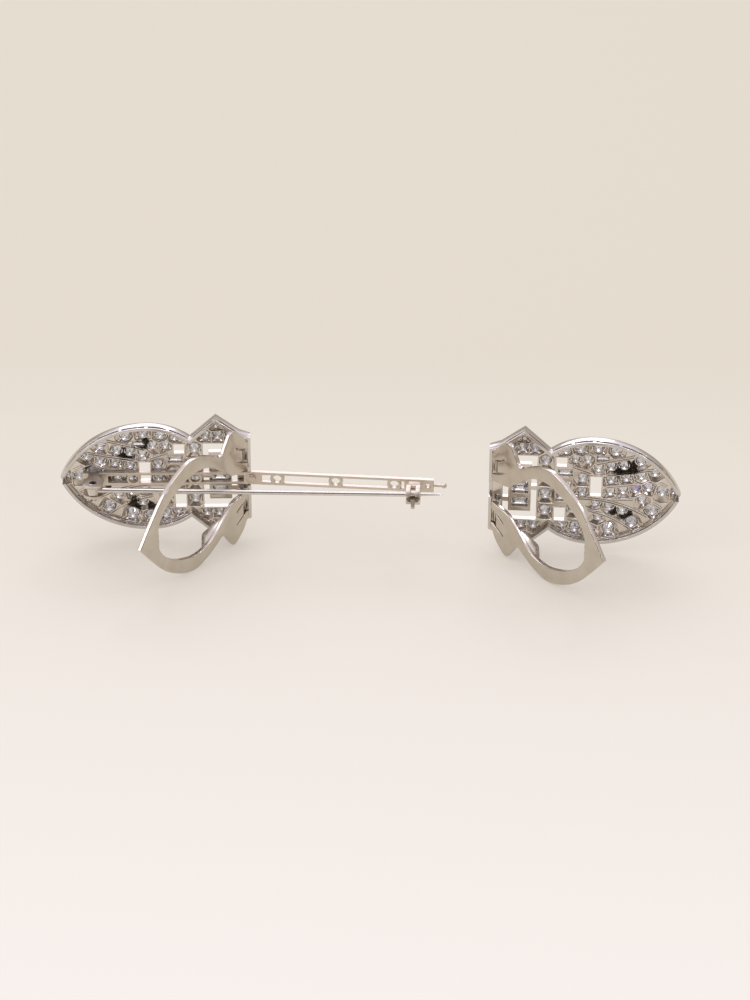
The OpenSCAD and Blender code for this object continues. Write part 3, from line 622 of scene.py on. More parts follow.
# White gold bar, drawn and worn to a satin: lines along its length and a soft cream face.
drawn_white_gold = worked_metal(
    "drawn_white_gold", "#E0D6C8", "#C8BCAB", (0.34, 0.46), 1.5, 0.2, 0.003, (1, 4, 4))
# Steel pin wire, drawn and buffed: cooler, and the brightest line of all.
drawn_steel = worked_metal("drawn_steel", "#E2DDD6", "#C8C2BA", (0.16, 0.24), 1.2, 0.15, 0.002, (1, 5, 5))


def tarnished_and_shaded(material):
    """A metal with painted shade in its cells and on its windows' walls, and a glinting black crust: old
    tarnish at its blackened places, and painted shade down a bore.

    The crust lies in clumps 0.32 mm across with grit of 0.18 mm in them, raised by 0.12 mm.
    """
    tree = material.node_tree
    shader = next(n for n in tree.nodes if n.type == "BSDF_PRINCIPLED")
    place = next(n for n in tree.nodes if n.type == "TEX_COORD").outputs["Object"]
    bright = shader.inputs["Base Color"].links[0].from_socket
    deep = node(tree, "Attribute", {}, attribute_name="depth")
    black = node(tree, "Attribute", {}, attribute_name="black")
    crust = node(tree, "TexNoise", {"Vector": place, "Scale": 1 / (0.32 * MM), "Detail": 4.0})
    # Painted shade: deeper in a cell, and on a window's sawn wall, the colour goes toward a darker tan.
    painted_shade = node(tree, "Mix", {"Factor": deep.outputs["Fac"], "A": bright, "B": linear("#C9BEB0")},
                data_type="RGBA")
    reach = node(tree, "Math", {0: black.outputs["Fac"], 1: crust.outputs["Fac"]}, operation="ADD")
    spot = node(tree, "MapRange", {"Value": reach.outputs["Value"], "From Min": 0.72, "From Max": 0.84})
    grit = node(tree, "TexNoise", {"Vector": place, "Scale": 1 / (0.18 * MM), "Detail": 3.0})
    soot = node(tree, "MapRange", {"Value": grit.outputs["Fac"], "From Min": 0.4, "From Max": 0.62})
    crusted = node(tree, "Mix", {
        "Factor": soot.outputs["Result"], "A": linear("#161412"), "B": linear("#5A5148")}, data_type="RGBA")
    colour = node(tree, "Mix", {"Factor": spot.outputs["Result"], "A": painted_shade.outputs["Result"],
                                "B": crusted.outputs["Result"]}, data_type="RGBA")
    tree.links.new(colour.outputs["Result"], shader.inputs["Base Color"])
    gloss = shader.inputs["Roughness"].links[0].from_socket
    matt = node(tree, "Mix", {"Factor": spot.outputs["Result"], "A": gloss, "B": 0.36}, data_type="FLOAT")
    tree.links.new(matt.outputs["Result"], shader.inputs["Roughness"])
    lumps = node(tree, "Math", {0: grit.outputs["Fac"], 1: spot.outputs["Result"]}, operation="MULTIPLY")
    lumpy = node(tree, "Bump", {"Height": lumps.outputs["Value"], "Distance": 0.12 * MM, "Strength": 1.0,
                                "Normal": shader.inputs["Normal"].links[0].from_socket})
    tree.links.new(lumpy.outputs["Normal"], shader.inputs["Normal"])
    return material


# Platinum sheet, pierced with a saw and hand finished: a soft cream face, with painted shade in its cells
# and on its windows' walls.
sawn_platinum = tarnished_and_shaded(worked_metal("sawn_platinum", "#E9E3DB", "#D0C7BC", (0.14, 0.28), 1.6, 0.25, 0.002))
# Steel tube, riveted over: buffed outside, with painted shade down its bore.
riveted_steel = tarnished_and_shaded(worked_metal("riveted_steel", "#E2DDD6", "#C8C2BA", (0.16, 0.24), 1.2, 0.15, 0.002))


def cut_diamond():
    """Diamond, cut and polished: clear, with hard white and dark flashes from facet to facet."""
    material = bpy.data.materials.new("cut_diamond")
    material.use_nodes = True
    tree = material.node_tree
    tree.nodes.clear()
    place = node(tree, "TexCoord", {}).outputs["Object"]
    # A bloom of dust on the backs, which makes parts of a stone milky.
    haze = node(tree, "TexNoise", {"Vector": place, "Scale": 1 / (0.6 * MM), "Detail": 2.0})
    body = node(tree, "MapRange", {"Value": haze.outputs["Fac"], "To Min": 0.0, "To Max": 0.06})
    clear = node(tree, "MapRange", {"Value": haze.outputs["Fac"], "From Min": 0.4, "From Max": 0.7,
                                    "To Min": 0.97, "To Max": 0.6})
    # Painted fire: here and there a stone's colour is painted with a violet or a green flash, in patches as
    # wide as one stone.
    painted_flash_noise = node(tree, "TexNoise", {"Vector": place, "Scale": 1 / (2.1 * MM), "Detail": 0.0})
    painted_flash_colour = node(tree, "ValToRGB", {"Fac": painted_flash_noise.outputs["Fac"]})
    painted_flash_colour.color_ramp.elements[0].position, painted_flash_colour.color_ramp.elements[0].color = 0.14, linear("#A6E2D4")
    painted_flash_colour.color_ramp.elements[1].position, painted_flash_colour.color_ramp.elements[1].color = 0.9, linear("#B09CF4")
    for at in (0.26, 0.78):
        painted_flash_colour.color_ramp.elements.new(at).color = linear("#FBFBFC")
    shader = node(tree, "BsdfPrincipled", {
        "Base Color": painted_flash_colour.outputs["Color"], "Roughness": body.outputs["Result"], "IOR": 2.42,
        "Transmission Weight": clear.outputs["Result"]})
    node(tree, "OutputMaterial", {"Surface": shader.outputs["BSDF"]})
    return material


diamond = cut_diamond()


# Places of the stones: along, up, radius, and the turn of their row
def count_in(length, r, most):
    """How many stones of a radius a length holds, with a wall between each two."""
    return min(most, 1 + math.floor((length + 0.001) / (2 * (r + STONE_GAP) + STONE_WALL)))


def step(k, n):
    """The share of the way at number k of n, or halfway for one alone."""
    return k / (n - 1) if n > 1 else 0.5


def row_places(rows, lx, ly):
    places = []
    for u0, v0, u1, v1, most, r in rows:
        a, b = (u0 * lx, v0 * ly), (u1 * lx, v1 * ly)
        n = count_in(math.dist(a, b), r, most) if a != b else 1
        turn = math.atan2(b[1] - a[1], b[0] - a[0]) if n > 1 else 0
        places += [(*between(a, b, step(k, n)), r, turn) for k in range(n)]
    return places


def edge_places(rows):
    places = []
    for side, start, end, most, r in rows:
        inset = RIM_WALL + STONE_GAP + EDGE_CLEAR + r
        a, b = along_leaf(start * CLIP_LENGTH, inset), along_leaf(end * CLIP_LENGTH, inset)
        n = count_in(b - a, r, most) if b > a else 1
        for k in range(n):
            s = a + (b - a) * step(k, n)
            x, y = on_leaf(s, inset)
            turn = -s / ((NEAR_R if s < 0 else FAR_R) - inset)
            places.append((x, side * y, r, side * turn))
    return places


head_stones = row_places(HEAD_ROWS, HEAD_LENGTH, HEAD_HALF)
stones = head_stones + row_places(LEAF_ROWS, CLIP_LENGTH, LEAF_HALF) + edge_places(EDGE_ROWS)
baguettes = [(u * HEAD_LENGTH, v * HEAD_HALF, l / 2, h / 2) for u, v, l, h in HEAD_BAGUETTES]
baguettes += [(u * CLIP_LENGTH, v * LEAF_HALF, l / 2, h / 2) for u, v, l, h in LEAF_BAGUETTES]
windows = [(u * CLIP_LENGTH, v * LEAF_HALF, l / 2, h / 2) for u, v, l, h in LEAF_WINDOWS]
head_window = (
    (HEAD_WINDOW[0] + HEAD_WINDOW[1]) / 2, 0, (HEAD_WINDOW[1] - HEAD_WINDOW[0]) / 2, HEAD_WINDOW[2])


def rib_line(rib, steps=16):
    """The middle line of a rib, straight or with a sideways bow."""
    u0, v0, u1, v1, bow = rib
    a, b = Vector((u0 * CLIP_LENGTH, v0 * LEAF_HALF)), Vector((u1 * CLIP_LENGTH, v1 * LEAF_HALF))
    side = Vector((a.y - b.y, b.x - a.x)).normalized()
    n = steps if bow else 2
    return [tuple(a.lerp(b, k / n) + side * bow * 4 * k / n * (1 - k / n)) for k in range(n + 1)]


rib_lines = [rib_line(rib) for rib in RIBS]


# The azure cells: every stone's share of the plate, cut square along its row
def cell_limits(n):
    """Straight cuts around a stone, each as its direction and distance."""
    x, y, r, turn = stones[n]
    cuts = [(turn + k * math.pi / 2, r + CELL_SPREAD[k % 2]) for k in range(4)]
    for m, (ox, oy, other, _) in enumerate(stones):
        away = math.dist((x, y), (ox, oy))
        if m != n and away < r + other + STONES_AROUND:
            share = (away**2 + (r + STONE_GAP) ** 2 - (other + STONE_GAP) ** 2) / (2 * away)
            cuts.append((math.atan2(oy - y, ox - x), share - CELL_WALL_HALF))
    if n < len(head_stones):
        up = 1 if y > 0 else -1
        for a, b in zip(HEAD_POINTS[1:], HEAD_POINTS[2:]):
            (ax, ay), (bx, by) = drawn_in(a, b, RIM_WALL + CELL_TO_HEAD_EDGE)
            d = Vector((bx - ax, by - ay)).normalized()
            off = (x - ax) * d.y - (up * y - ay) * d.x
            cuts.append((math.atan2(up * d.x, -d.y), off))
    else:
        for up in (1, -1):
            for r_edge, keep in ((NEAR_R, x < LEAF_WIDEST + ARC_LAP), (FAR_R, x > LEAF_WIDEST - ARC_LAP)):
                dx, dy = x - LEAF_WIDEST, y - up * (LEAF_HALF - r_edge)
                if keep:
                    off = r_edge - RIM_WALL - CELL_TO_LEAF_EDGE - math.hypot(dx, dy)
                    cuts.append((math.atan2(dy, dx), off))
    for cx, cy, hx, hy in baguettes + windows + [head_window]:
        near_x, near_y = max(cx - hx, min(cx + hx, x)) - x, max(cy - hy, min(cy + hy, y)) - y
        if math.hypot(near_x, near_y) < r + LOOK_AROUND:
            cuts.append((math.atan2(near_y, near_x), math.hypot(near_x, near_y) - CELL_TO_WINDOW))
    for line in rib_lines:
        for a, b in zip(line, line[1:]):
            d = Vector(b) - Vector(a)
            t = (Vector((x, y)) - Vector(a)).dot(d) / d.length_squared
            foot = Vector(a) + d * max(0, min(1, t))
            off = foot - Vector((x, y))
            if off.length < r + LOOK_AROUND:
                cuts.append((math.atan2(off.y, off.x), off.length - RIB_HALF - CELL_TO_RIB))
    return [(a, max(d, r + CELL_LEAST)) for a, d in cuts]


def cell_rings(n, rays=32):
    """The shaft under a stone: square at the back, round at the stone."""
    x, y, r, turn = stones[n]
    limits = cell_limits(n)
    angles = [turn + 2 * math.pi * k / rays for k in range(rays)]
    reach = [min(d / math.cos(a - b) for b, d in limits if math.cos(a - b) > 0.05) for a in angles]
    hole = r + SEAT_GAP
    rings = []
    for share, grow, z in CELL_LEVELS:
        spread = [d + (hole - d) * share + grow for d in reach]
        rings.append([(x + d * math.cos(a), y + d * math.sin(a), z) for a, d in zip(angles, spread)])
    return rings


def box_rings(cx, cy, hx, hy, levels, corner=0.08):
    """The shaft of a window or of a step-cut stone."""
    rings = []
    for g, z in levels:
        loop = rounded(cx - hx - g, cx + hx + g, cy - hy - g, cy + hy + g, corner + max(0, g) / 2)
        rings.append([(x, y, z) for x, y in loop])
    return rings


def channel_loops():
    """The pierced key pattern around the head's block."""
    (u0, u1, top), (b0, b1, inner) = HEAD_WINDOW, HEAD_BLOCK
    far, near, wide = HEAD_BRIDGES
    upper = [(u0, wide), (b0, wide), (b0, inner), (b1, inner), (b1, far), (u1, far), (u1, top), (u0, top)]
    return [upper, [(x, -y) for x, y in reversed(upper)], [(u0, -near), (b0, -near), (b0, near), (u0, near)]]


def plate():
    """The pierced plate, with a shaft for each stone, window and channel."""
    edge = outline(RIM_WALL / 2)
    shafts = [[[(x, y, z) for x, y in edge] for z in (CELL_TOP, FRONT + 0.02)]]
    shafts += [cell_rings(n) for n in range(len(stones))]
    shafts += [box_rings(*box, BOX_LEVELS) for box in baguettes]
    shafts += [box_rings(*box, WINDOW_LEVELS) for box in windows]
    for loop in channel_loops():
        loop = turned_loop(loop, False)
        shafts.append([[(x, y, z) for x, y in moved_in(loop, g)] for g, z in WINDOW_LEVELS])
    return pierced(shafts)


# The rim: a wall, a gallery of slots under a rail, and the rail along the back
def swept(places, profile, mirror=1):
    """A profile of inset and height, drawn along the rim."""
    rings = []
    for g in places:
        ring = []
        for inset, z in profile:
            x, y = rim_at(g, inset)
            ring.append((x, mirror * y, z))
        rings.append(ring)
    return skinned(rings)


def gallery_slots():
    """Start and end of each slot on the rim's upper half: one on each side of the peak, then the leaf's."""
    slots = []
    for k in (2, 3):
        share = GALLERY_END / math.dist(head_corners(0)[k], head_corners(0)[k + 1])
        slots.append((k + share, k + 1 - share))
    notch, tip = along_leaf(head_corners(0)[4][0]), along_leaf(CLIP_LENGTH)
    start, end = notch + GALLERY_POST, tip - 2 * RIM_WALL
    near = max(1, round(GALLERY_COUNT * -start / (end - start)))
    for a, b, n in ((start, 0, near), (0, end, GALLERY_COUNT - near)):
        pitch = (b - a) / n
        for k in range(n):
            ends = (a + k * pitch + GALLERY_POST / 2, a + (k + 1) * pitch - GALLERY_POST / 2)
            slots.append(tuple(4 + (s - notch) / (tip - notch) for s in ends))
    return slots


def notch_wall(place, depth):
    """The low wall under the bar that closes the rim at a notch."""
    section = rounded(0.01, RIM_WALL - 0.01, FRONT + 0.01, LOW_TOP, 0.06)
    rings = []
    for v in (-depth, 0, depth):
        ring = []
        for inset, z in section:
            x, y = rim_at(place(abs(v)), inset)
            ring.append((x, math.copysign(y, v) if v else 0.0, z))
        rings.append(ring)
    return skinned(rings)


def rim_solids():
    """Wall and rail run from notch to notch, and thinner metal fills the gallery between its slots."""
    wall = rounded(0.0, RIM_WALL, FRONT, GALLERY[0], RIM_ROUND)
    rail = rounded(0.0, RIM_WALL, GALLERY[1], 0.0, RAIL_ROUND, 4)
    filler = rounded(0.04, RIM_WALL - 0.04, GALLERY[0] - 0.05, GALLERY[1] + 0.05, 0.03, 1)
    first = FLAT_NOTCH / FLAT_HALF
    last = 5 - next(
        k / RIM_FINE for k in range(1, RIM_FINE) if rim_at(5 - k / RIM_FINE, 0.2)[1] > TIP_NOTCH)
    whole = rim_steps(first, last)
    stops = [first + 0.002] + [end for slot in gallery_slots() for end in slot] + [last - 0.002]
    solids = []
    for mirror in (1, -1):
        solids += [swept(whole, wall, mirror), swept(whole, rail, mirror)]
        solids += [swept(rim_steps(a, b), filler, mirror) for a, b in zip(stops[::2], stops[1::2])]
    solids.append(notch_wall(lambda v: first * v / FLAT_NOTCH, FLAT_NOTCH + FLAT_LAP))
    solids.append(notch_wall(lambda v: 5 - (5 - last) * v / TIP_NOTCH, TIP_NOTCH + TIP_LAP))
    return solids


def walled(loop, section):
    """A thin wall that stands on a closed line."""
    rings = []
    for a, b, c in zip(loop[-1:] + loop[:-1], loop, loop[1:] + loop[:1]):
        d, e = (Vector(b) - Vector(a)).normalized(), (Vector(c) - Vector(b)).normalized()
        m, n = Vector((-d.y, d.x)), Vector((-e.y, e.x))
        out = (m + n) / max(MITRE_LEAST, 1 + m.dot(n))
        rings.append([(b[0] + out.x * s, b[1] + out.y * s, z) for s, z in section])
    return skinned(rings, closed=True)


def box_line(x0, x1, y0, y1, out):
    """A box's outline, moved out from its sides."""
    return [(x0 - out, y0 - out), (x1 + out, y0 - out), (x1 + out, y1 + out), (x0 - out, y1 + out)]


def thin_wall(wide, foot, top, round_r=WALL_ROUND):
    """Section of a thin wall that stands on the plate, with its foot sunk into it."""
    return rounded(-wide / 2, wide / 2, CELL_TOP + foot, top, round_r, 2)


def rib_solids():
    """Channelled ribs between the rows, and thin walls around windows and the head's channels."""
    solids = []
    # Ribs under the bar's path stay lower, so that the bar slides over them.
    high, low = (thin_wall(RIB_WALL, -0.1, top) for top in (RIB_TOP, LOW_TOP))
    for line in rib_lines:
        section = low if min(abs(y) for _, y in line) < BAR_HALF + 0.4 else high
        sides = []
        for k, p in enumerate(line):
            d = Vector(line[min(k + 1, len(line) - 1)]) - Vector(line[max(k - 1, 0)])
            sides.append(Vector((-d.y, d.x)).normalized() * RIB_HALF)
        left = [(p[0] + s.x, p[1] + s.y) for p, s in zip(line, sides)]
        right = [(p[0] - s.x, p[1] - s.y) for p, s in zip(line, sides)]
        solids.append(walled(left + right[::-1], section))
    (u0, u1, top), (b0, b1, inner) = HEAD_WINDOW, HEAD_BLOCK
    fences = [box_line(b0, b1, -inner, inner, -FENCE_OFF), box_line(u0, u1, -top, top, FENCE_OFF)]
    fences += [box_line(x - hx, x + hx, y - hy, y + hy, WINDOW_FENCE_OFF) for x, y, hx, hy in windows]
    fence = thin_wall(FENCE_WALL, -0.05, LOW_TOP)
    solids += [walled(loop, fence) for loop in fences]
    lining = thin_wall(LINING_WALL, -0.05, CELL_TOP + 0.08, 0.04)
    for x, y, hx, hy in baguettes:
        solids.append(walled(box_line(x - hx, x + hx, y - hy, y + hy, LINING_OFF), lining))
    return solids


def hinge_solids():
    """The rods that the lever turns on, and their posts."""
    solids = []
    dome = domed(ROD_R, ROD_DOME)
    rod = [(-t, r) for t, r in reversed(dome)] + [(POST_OUT - POST_IN + t, r) for t, r in dome]
    posts = ((POST_IN + POST_SET_IN, KNUCKLE_IN - KNUCKLE_CLEAR),
             (KNUCKLE_OUT + KNUCKLE_CLEAR, POST_OUT - POST_SET_IN))
    for up in (1, -1):
        solids.append(turned(rod, (HINGE_AT, up * POST_IN, -HINGE_DEEP), (0, up, 0), 24))
        for a, b in posts:
            low, high = sorted((up * a, up * b))
            loop = rounded(HINGE_AT - ROD_R, HINGE_AT + ROD_R, low, high, 0.12)
            solids.append(sheet([loop], POST_FOOT, -HINGE_DEEP - 0.02, 0.05))
    return solids


def setting_grains():
    """Grains raised over each stone's edge on the front."""
    solids = []
    for x, y, r, turn in stones:
        size = GRAIN_R if r > TINY_STONE else TINY_GRAIN_R
        for k in range(4):
            a = turn + math.pi / 4 + k * math.pi / 2
            out = r + GRAIN_OUT
            at = (x + out * math.cos(a), y + out * math.sin(a), FRONT + GRAIN_SUNK)
            dome = [(t - GRAIN_SUNK, s) for t, s in domed(size, size + GRAIN_RISE, 3)]
            solids.append(turned(dome, at, (0, 0, -1), 8))
    return solids


def clear_ground(x, y, room):
    """Whether the front has bare metal here, with room to every stone, window and channel."""
    (u0, u1, top), (b0, b1, inner) = HEAD_WINDOW, HEAD_BLOCK
    if not inside((x, y), outline(RIM_WALL + room)):
        return False
    if any(math.dist((x, y), (sx, sy)) < r + room + 0.1 for sx, sy, r, _ in stones):
        return False
    if any(abs(x - cx) < hx + room and abs(y - cy) < hy + room for cx, cy, hx, hy in baguettes + windows):
        return False
    in_window = u0 - room < x < u1 + room and abs(y) < top + room
    return not in_window or (b0 + room < x < b1 - room and abs(y) < inner - room)


def ground_grains():
    """Fine grains that fill the ground between the stones on the front, in staggered rows."""
    solids = []
    row_pitch = GROUND_PITCH * GROUND_ROWS
    rows, columns = math.ceil(HEAD_HALF / row_pitch), math.ceil(CLIP_LENGTH / GROUND_PITCH)
    dome = [(t - GROUND_SUNK, s) for t, s in domed(*GROUND_GRAIN, 3)]
    for row in range(-rows, rows + 1):
        for k in range(columns):
            x, y = GROUND_PITCH * (k + 0.5 * (row % 2)), row_pitch * row
            if clear_ground(x, y, GROUND_ROOM):
                solids.append(turned(dome, (x, y, FRONT + GROUND_SUNK), (0, 0, -1), 7))
    return solids


def beaded_line():
    """A line of beads round the front of the rim."""
    solids = []
    line = [rim_at(5 * k / RIM_FINE, RIM_WALL * BEAD_SHARE) for k in range(RIM_FINE + 1)]
    line += [(x, -y) for x, y in reversed(line[1:-1])]
    dome = [(t - BEAD_SUNK, s) for t, s in domed(*BEAD, 3)]
    gone = 0.0
    for a, b in zip(line, line[1:] + line[:1]):
        gone += math.dist(a, b)
        if gone > BEAD_PITCH:
            gone = 0.0
            solids.append(turned(dome, (b[0], b[1], FRONT), (0, 0, -1), 8))
    return solids


# Stones
def brilliant(x, y, r, turn):
    """Round stone of 57 facets and a thin girdle, with its culet toward the back."""
    # Usual proportions, as shares of the radius. A large stone is cut shallower, to stay in the plate.
    table, spread, deep, thick, rise = 0.56 * r, 0.8 * r, min(0.8 * r, PAVILION_MOST), 0.07 * r, 0.32 * r
    eighth = math.pi / 4

    def at(radius, a, z):
        return (x + radius * math.cos(turn + a), y + radius * math.sin(turn + a), SEAT + z)

    low = 0.26 * r
    corners = [at(0, 0, deep)]
    corners += [at(low, (k + 0.5) * eighth, deep * (1 - low * math.cos(eighth / 2) / r)) for k in range(8)]
    corners += [at(r, k * eighth / 2, 0) for k in range(16)]
    corners += [at(r, k * eighth / 2, -thick) for k in range(16)]
    star_z = -thick - rise * (r - spread * math.cos(eighth / 2)) / (r - table)
    corners += [at(spread, (k + 0.5) * eighth, star_z) for k in range(8)]
    corners += [at(table, k * eighth, -thick - rise) for k in range(8)]
    lows, girdle, brim, stars, tops = 1, 9, 25, 41, 49
    faces = [tuple(tops + k for k in range(8))]
    for k in range(8):
        g, h, before = 2 * k, (2 * k + 1) % 16, (2 * k - 1) % 16
        nxt = (2 * k + 2) % 16
        last = (k - 1) % 8
        faces += [
            (0, lows + last, girdle + g, lows + k),
            (lows + k, girdle + g, girdle + h), (lows + k, girdle + h, girdle + nxt),
            (girdle + g, girdle + h, brim + h, brim + g),
            (girdle + before, girdle + g, brim + g, brim + before),
            (stars + k, brim + g, brim + h), (stars + k, brim + h, brim + nxt),
            (tops + k, stars + last, brim + g, stars + k),
            (tops + k, tops + (k + 1) % 8, stars + k),
        ]
    return corners, faces


def step_cut(x, y, hx, hy):
    """Baguette with three steps on the back and two on the front."""
    w = 2 * min(hx, hy)
    levels = [(i, SEAT + z * w) for i, z in BACK_STEPS]
    levels += [(i, SEAT - STEP_GIRDLE - z * w) for i, z in FRONT_STEPS]
    corners = ((1, 1), (-1, 1), (-1, -1), (1, -1))
    return skinned([
        [(x + sx * (hx - i * w), y + sy * (hy - i * w), z) for sx, sy in corners] for i, z in levels])


# The lever: a loop of sheet with its tongues rolled round the rod
def lever_cell(k, n):
    """Column k of section n, held at both ends of the table."""
    return LEVER_SECTIONS[max(0, min(len(LEVER_SECTIONS) - 1, n))][k]


def lever_spline(k, n, t):
    """Column k on a smooth curve through the sections, a share t past section n."""
    a, b, c, d = (lever_cell(k, n + m) for m in (-1, 0, 1, 2))
    return 0.5 * (2 * b + (c - a) * t + (2 * a - 5 * b + 4 * c - d) * t * t + (3 * b - a - 3 * c + d) * t**3)


def lever_edge(k, last, steps=6):
    """The loop's outer edge, column 1, or its inner edge, column 2, as distance and half width."""
    return [
        (min(LEVER_LENGTH, LEVER_LENGTH * max(0.0, lever_spline(0, n, t / steps))),
         LEVER_HALF * max(0.0, lever_spline(k, n, t / steps)))
        for n in range(last) for t in range(steps)
    ]


def spaced(line, least):
    """A line without points that crowd the one before them."""
    kept = line[:1]
    for p in line[1:]:
        if math.dist(p, kept[-1]) > least:
            kept.append(p)
    return kept


def slit_at(y, side, p):
    """Distance from the middle line of a slit's edge, at a distance from the hinge."""
    t = (p - SLIT_START) / (SLIT_END - SLIT_START)
    return y - SLIT_LEAN + (SLIT_SPREAD + SLIT_LEAN) * t - SLIT_BOW * t * (1 - t) + side * SLIT_HALF


def slit_edge(y, side, start, end, steps=8):
    """Points of a slit's edge from one distance to another."""
    return [(start + (end - start) * k / steps, slit_at(y, side, start + (end - start) * k / steps))
            for k in range(steps + 1)]


def lever_loop():
    """Outline of the lever's sheet, with the tongues cut short where they roll down."""
    inner_slit, outer_slit = SLITS
    back = [(-LEVER_BACK, LEVER_BACK_ENDS[1] * LEVER_HALF)]
    back += slit_edge(outer_slit, 1, -LEVER_BACK, SLIT_END - SLIT_POINT)
    back += [(SLIT_END, slit_at(outer_slit, 0, SLIT_END))]
    back += slit_edge(outer_slit, -1, SLIT_END - SLIT_POINT, TONGUE_CUT, 4)
    back += slit_edge(inner_slit, 1, TONGUE_CUT, SLIT_END - SLIT_POINT, 4)
    back += [(SLIT_END, slit_at(inner_slit, 0, SLIT_END))]
    back += slit_edge(inner_slit, -1, SLIT_END - SLIT_POINT, -LEVER_BACK)
    back += [(-LEVER_BACK, LEVER_BACK_ENDS[0] * LEVER_HALF)]
    outer = spaced(lever_edge(1, len(LEVER_SECTIONS) - 1), LEVER_STEP)
    inner = spaced(lever_edge(2, LOOP_END), LEVER_STEP)
    half = [(LEVER_LENGTH, 0)] + list(reversed(outer)) + back + inner
    loop_end = (LEVER_SECTIONS[LOOP_END][0] * LEVER_LENGTH, 0)
    return half + [loop_end] + [(p, -q) for p, q in reversed(half[1:])]


def tongue(up):
    """A tongue of the sheet, thinned and rolled round the rod."""
    rings = []
    for p, z, thick in TONGUE:
        # Toward the rod the sheet leans over, so that it runs on into the roll.
        lean = max(0.0, 0.5 * (1.2 - p))
        out = Vector((math.sin(lean), math.cos(lean)))
        q0 = slit_at(SLITS[0], 1, p)
        q1 = slit_at(SLITS[1], -1, p)
        rings.append([(p + out.x * n, up * q, z + out.y * n)
                      for q, n in rounded(q0, q1, -thick / 2, thick / 2, TONGUE_ROUND)])
    q0 = max(KNUCKLE_IN + 0.02, slit_at(SLITS[0], 1, -LEVER_BACK))
    q1 = min(KNUCKLE_OUT - 0.02, slit_at(SLITS[1], -1, -LEVER_BACK) + 0.1)
    roll = rounded(q0, q1, -KNUCKLE_WALL / 2, KNUCKLE_WALL / 2, TONGUE_ROUND)
    for k in range(ROLL_STEPS + 1):
        a = math.radians(ROLL_START + ROLL_TURN * k / ROLL_STEPS)
        rings.append([
            ((KNUCKLE_R + n) * math.cos(a), up * q, (KNUCKLE_R + n) * math.sin(a)) for q, n in roll])
    return skinned(rings)


def tooth(up):
    """A pointed tooth folded down from the loop's inner edge."""
    start, tip, end = TOOTH
    edge = lever_edge(2, LOOP_END, 8)
    rings = []
    steps = 14
    for k in range(steps + 1):
        share = start + (end - start) * k / steps
        p = share * LEVER_LENGTH
        near = max(n for n, e in enumerate(edge) if e[0] <= p)
        a, b = edge[near], edge[min(near + 1, len(edge) - 1)]
        q = a[1] + (b[1] - a[1]) * (p - a[0]) / max(1e-6, b[0] - a[0])
        drop = (share - start) / (tip - start) if share < tip else (end - share) / (end - tip)
        # Straight flanks with a slightly blunt point
        low = LEVER_UNDER + 0.1 - (TOOTH_DEEP + 0.1) * min(1, 1.08 * drop) ** 0.9
        d = Vector((b[0] - a[0], b[1] - a[1])).normalized()
        rings.append([(p - d.y * s, up * (q + d.x * s), z)
                      for s, z in rounded(*TOOTH_FACE, low, LEVER_UNDER + LEVER_T / 2, TONGUE_ROUND)])
    return skinned(rings)


def lever_solids():
    solids = [sheet([lever_loop()], LEVER_UNDER, LEVER_UNDER + LEVER_T, LEVER_EDGE, 4)]
    for up in (1, -1):
        solids += [tongue(up), tooth(up)]
    return solids


# The frame: two bars with a fork for the pin and a drum catch
def bar_holes(end, holes):
    """Round holes in a bar, and long slots between them whose ends follow the holes' rings."""
    loops = [round_hole(h, 0, HOLE_R) for h in holes]
    half, ring = BAR_HALF - BAR_RAIL, HOLE_R + BAR_RAIL
    swing = math.degrees(math.asin(half / ring))
    stops = [BAR_END] + list(holes) + [end]
    for k, (a, b) in enumerate(zip(stops, stops[1:])):
        left, right = [(a, half - 0.1), (a, -half + 0.1)], [(b, -half + 0.1), (b, half - 0.1)]
        if k:
            left = arc(a, 0, ring, swing, -swing, 10)
        if k < len(stops) - 2:
            right = arc(b, 0, ring, 180 + swing, 180 - swing, 10)
        loops.append(left + right)
    return loops


def bar_sheet(length, holes):
    """A pierced bar from the frame's middle outward."""
    bar = [(0, -BAR_HALF), (length, -BAR_HALF), (length, BAR_HALF), (0, BAR_HALF)]
    return sheet([bar] + holes, BAR_BACK - BAR_T, BAR_BACK, BAR_EDGE)


def across_v(solid):
    """Stands a sheet drawn in u and w on its edge across the bar."""
    return swung(solid, lambda x, y, z: (x, z, y))


def open_ring(inner, outer, half_gap, start=-180, end=180):
    """A ring in v and w, open toward +w, with half its opening given. Angles run from -w."""
    turn_out, turn_in = (math.degrees(math.asin(half_gap / r)) for r in (outer, inner))
    lo_out, hi_out = max(start, -180 + turn_out), min(end, 180 - turn_out)
    lo_in, hi_in = max(start, -180 + turn_in), min(end, 180 - turn_in)
    steps = 40
    loop = []
    for r, a, b in ((outer, lo_out, hi_out), (inner, hi_in, lo_in)):
        turns = [math.radians(a + (b - a) * k / steps) for k in range(steps + 1)]
        loop += [(r * math.sin(t), -r * math.cos(t)) for t in turns]
    return loop


def along_u(solid):
    """Lays a sheet drawn in v and w along the bar, at the catch."""
    return swung(solid, lambda x, y, z: (CATCH_AT + z, x, CATCH_Z + y))


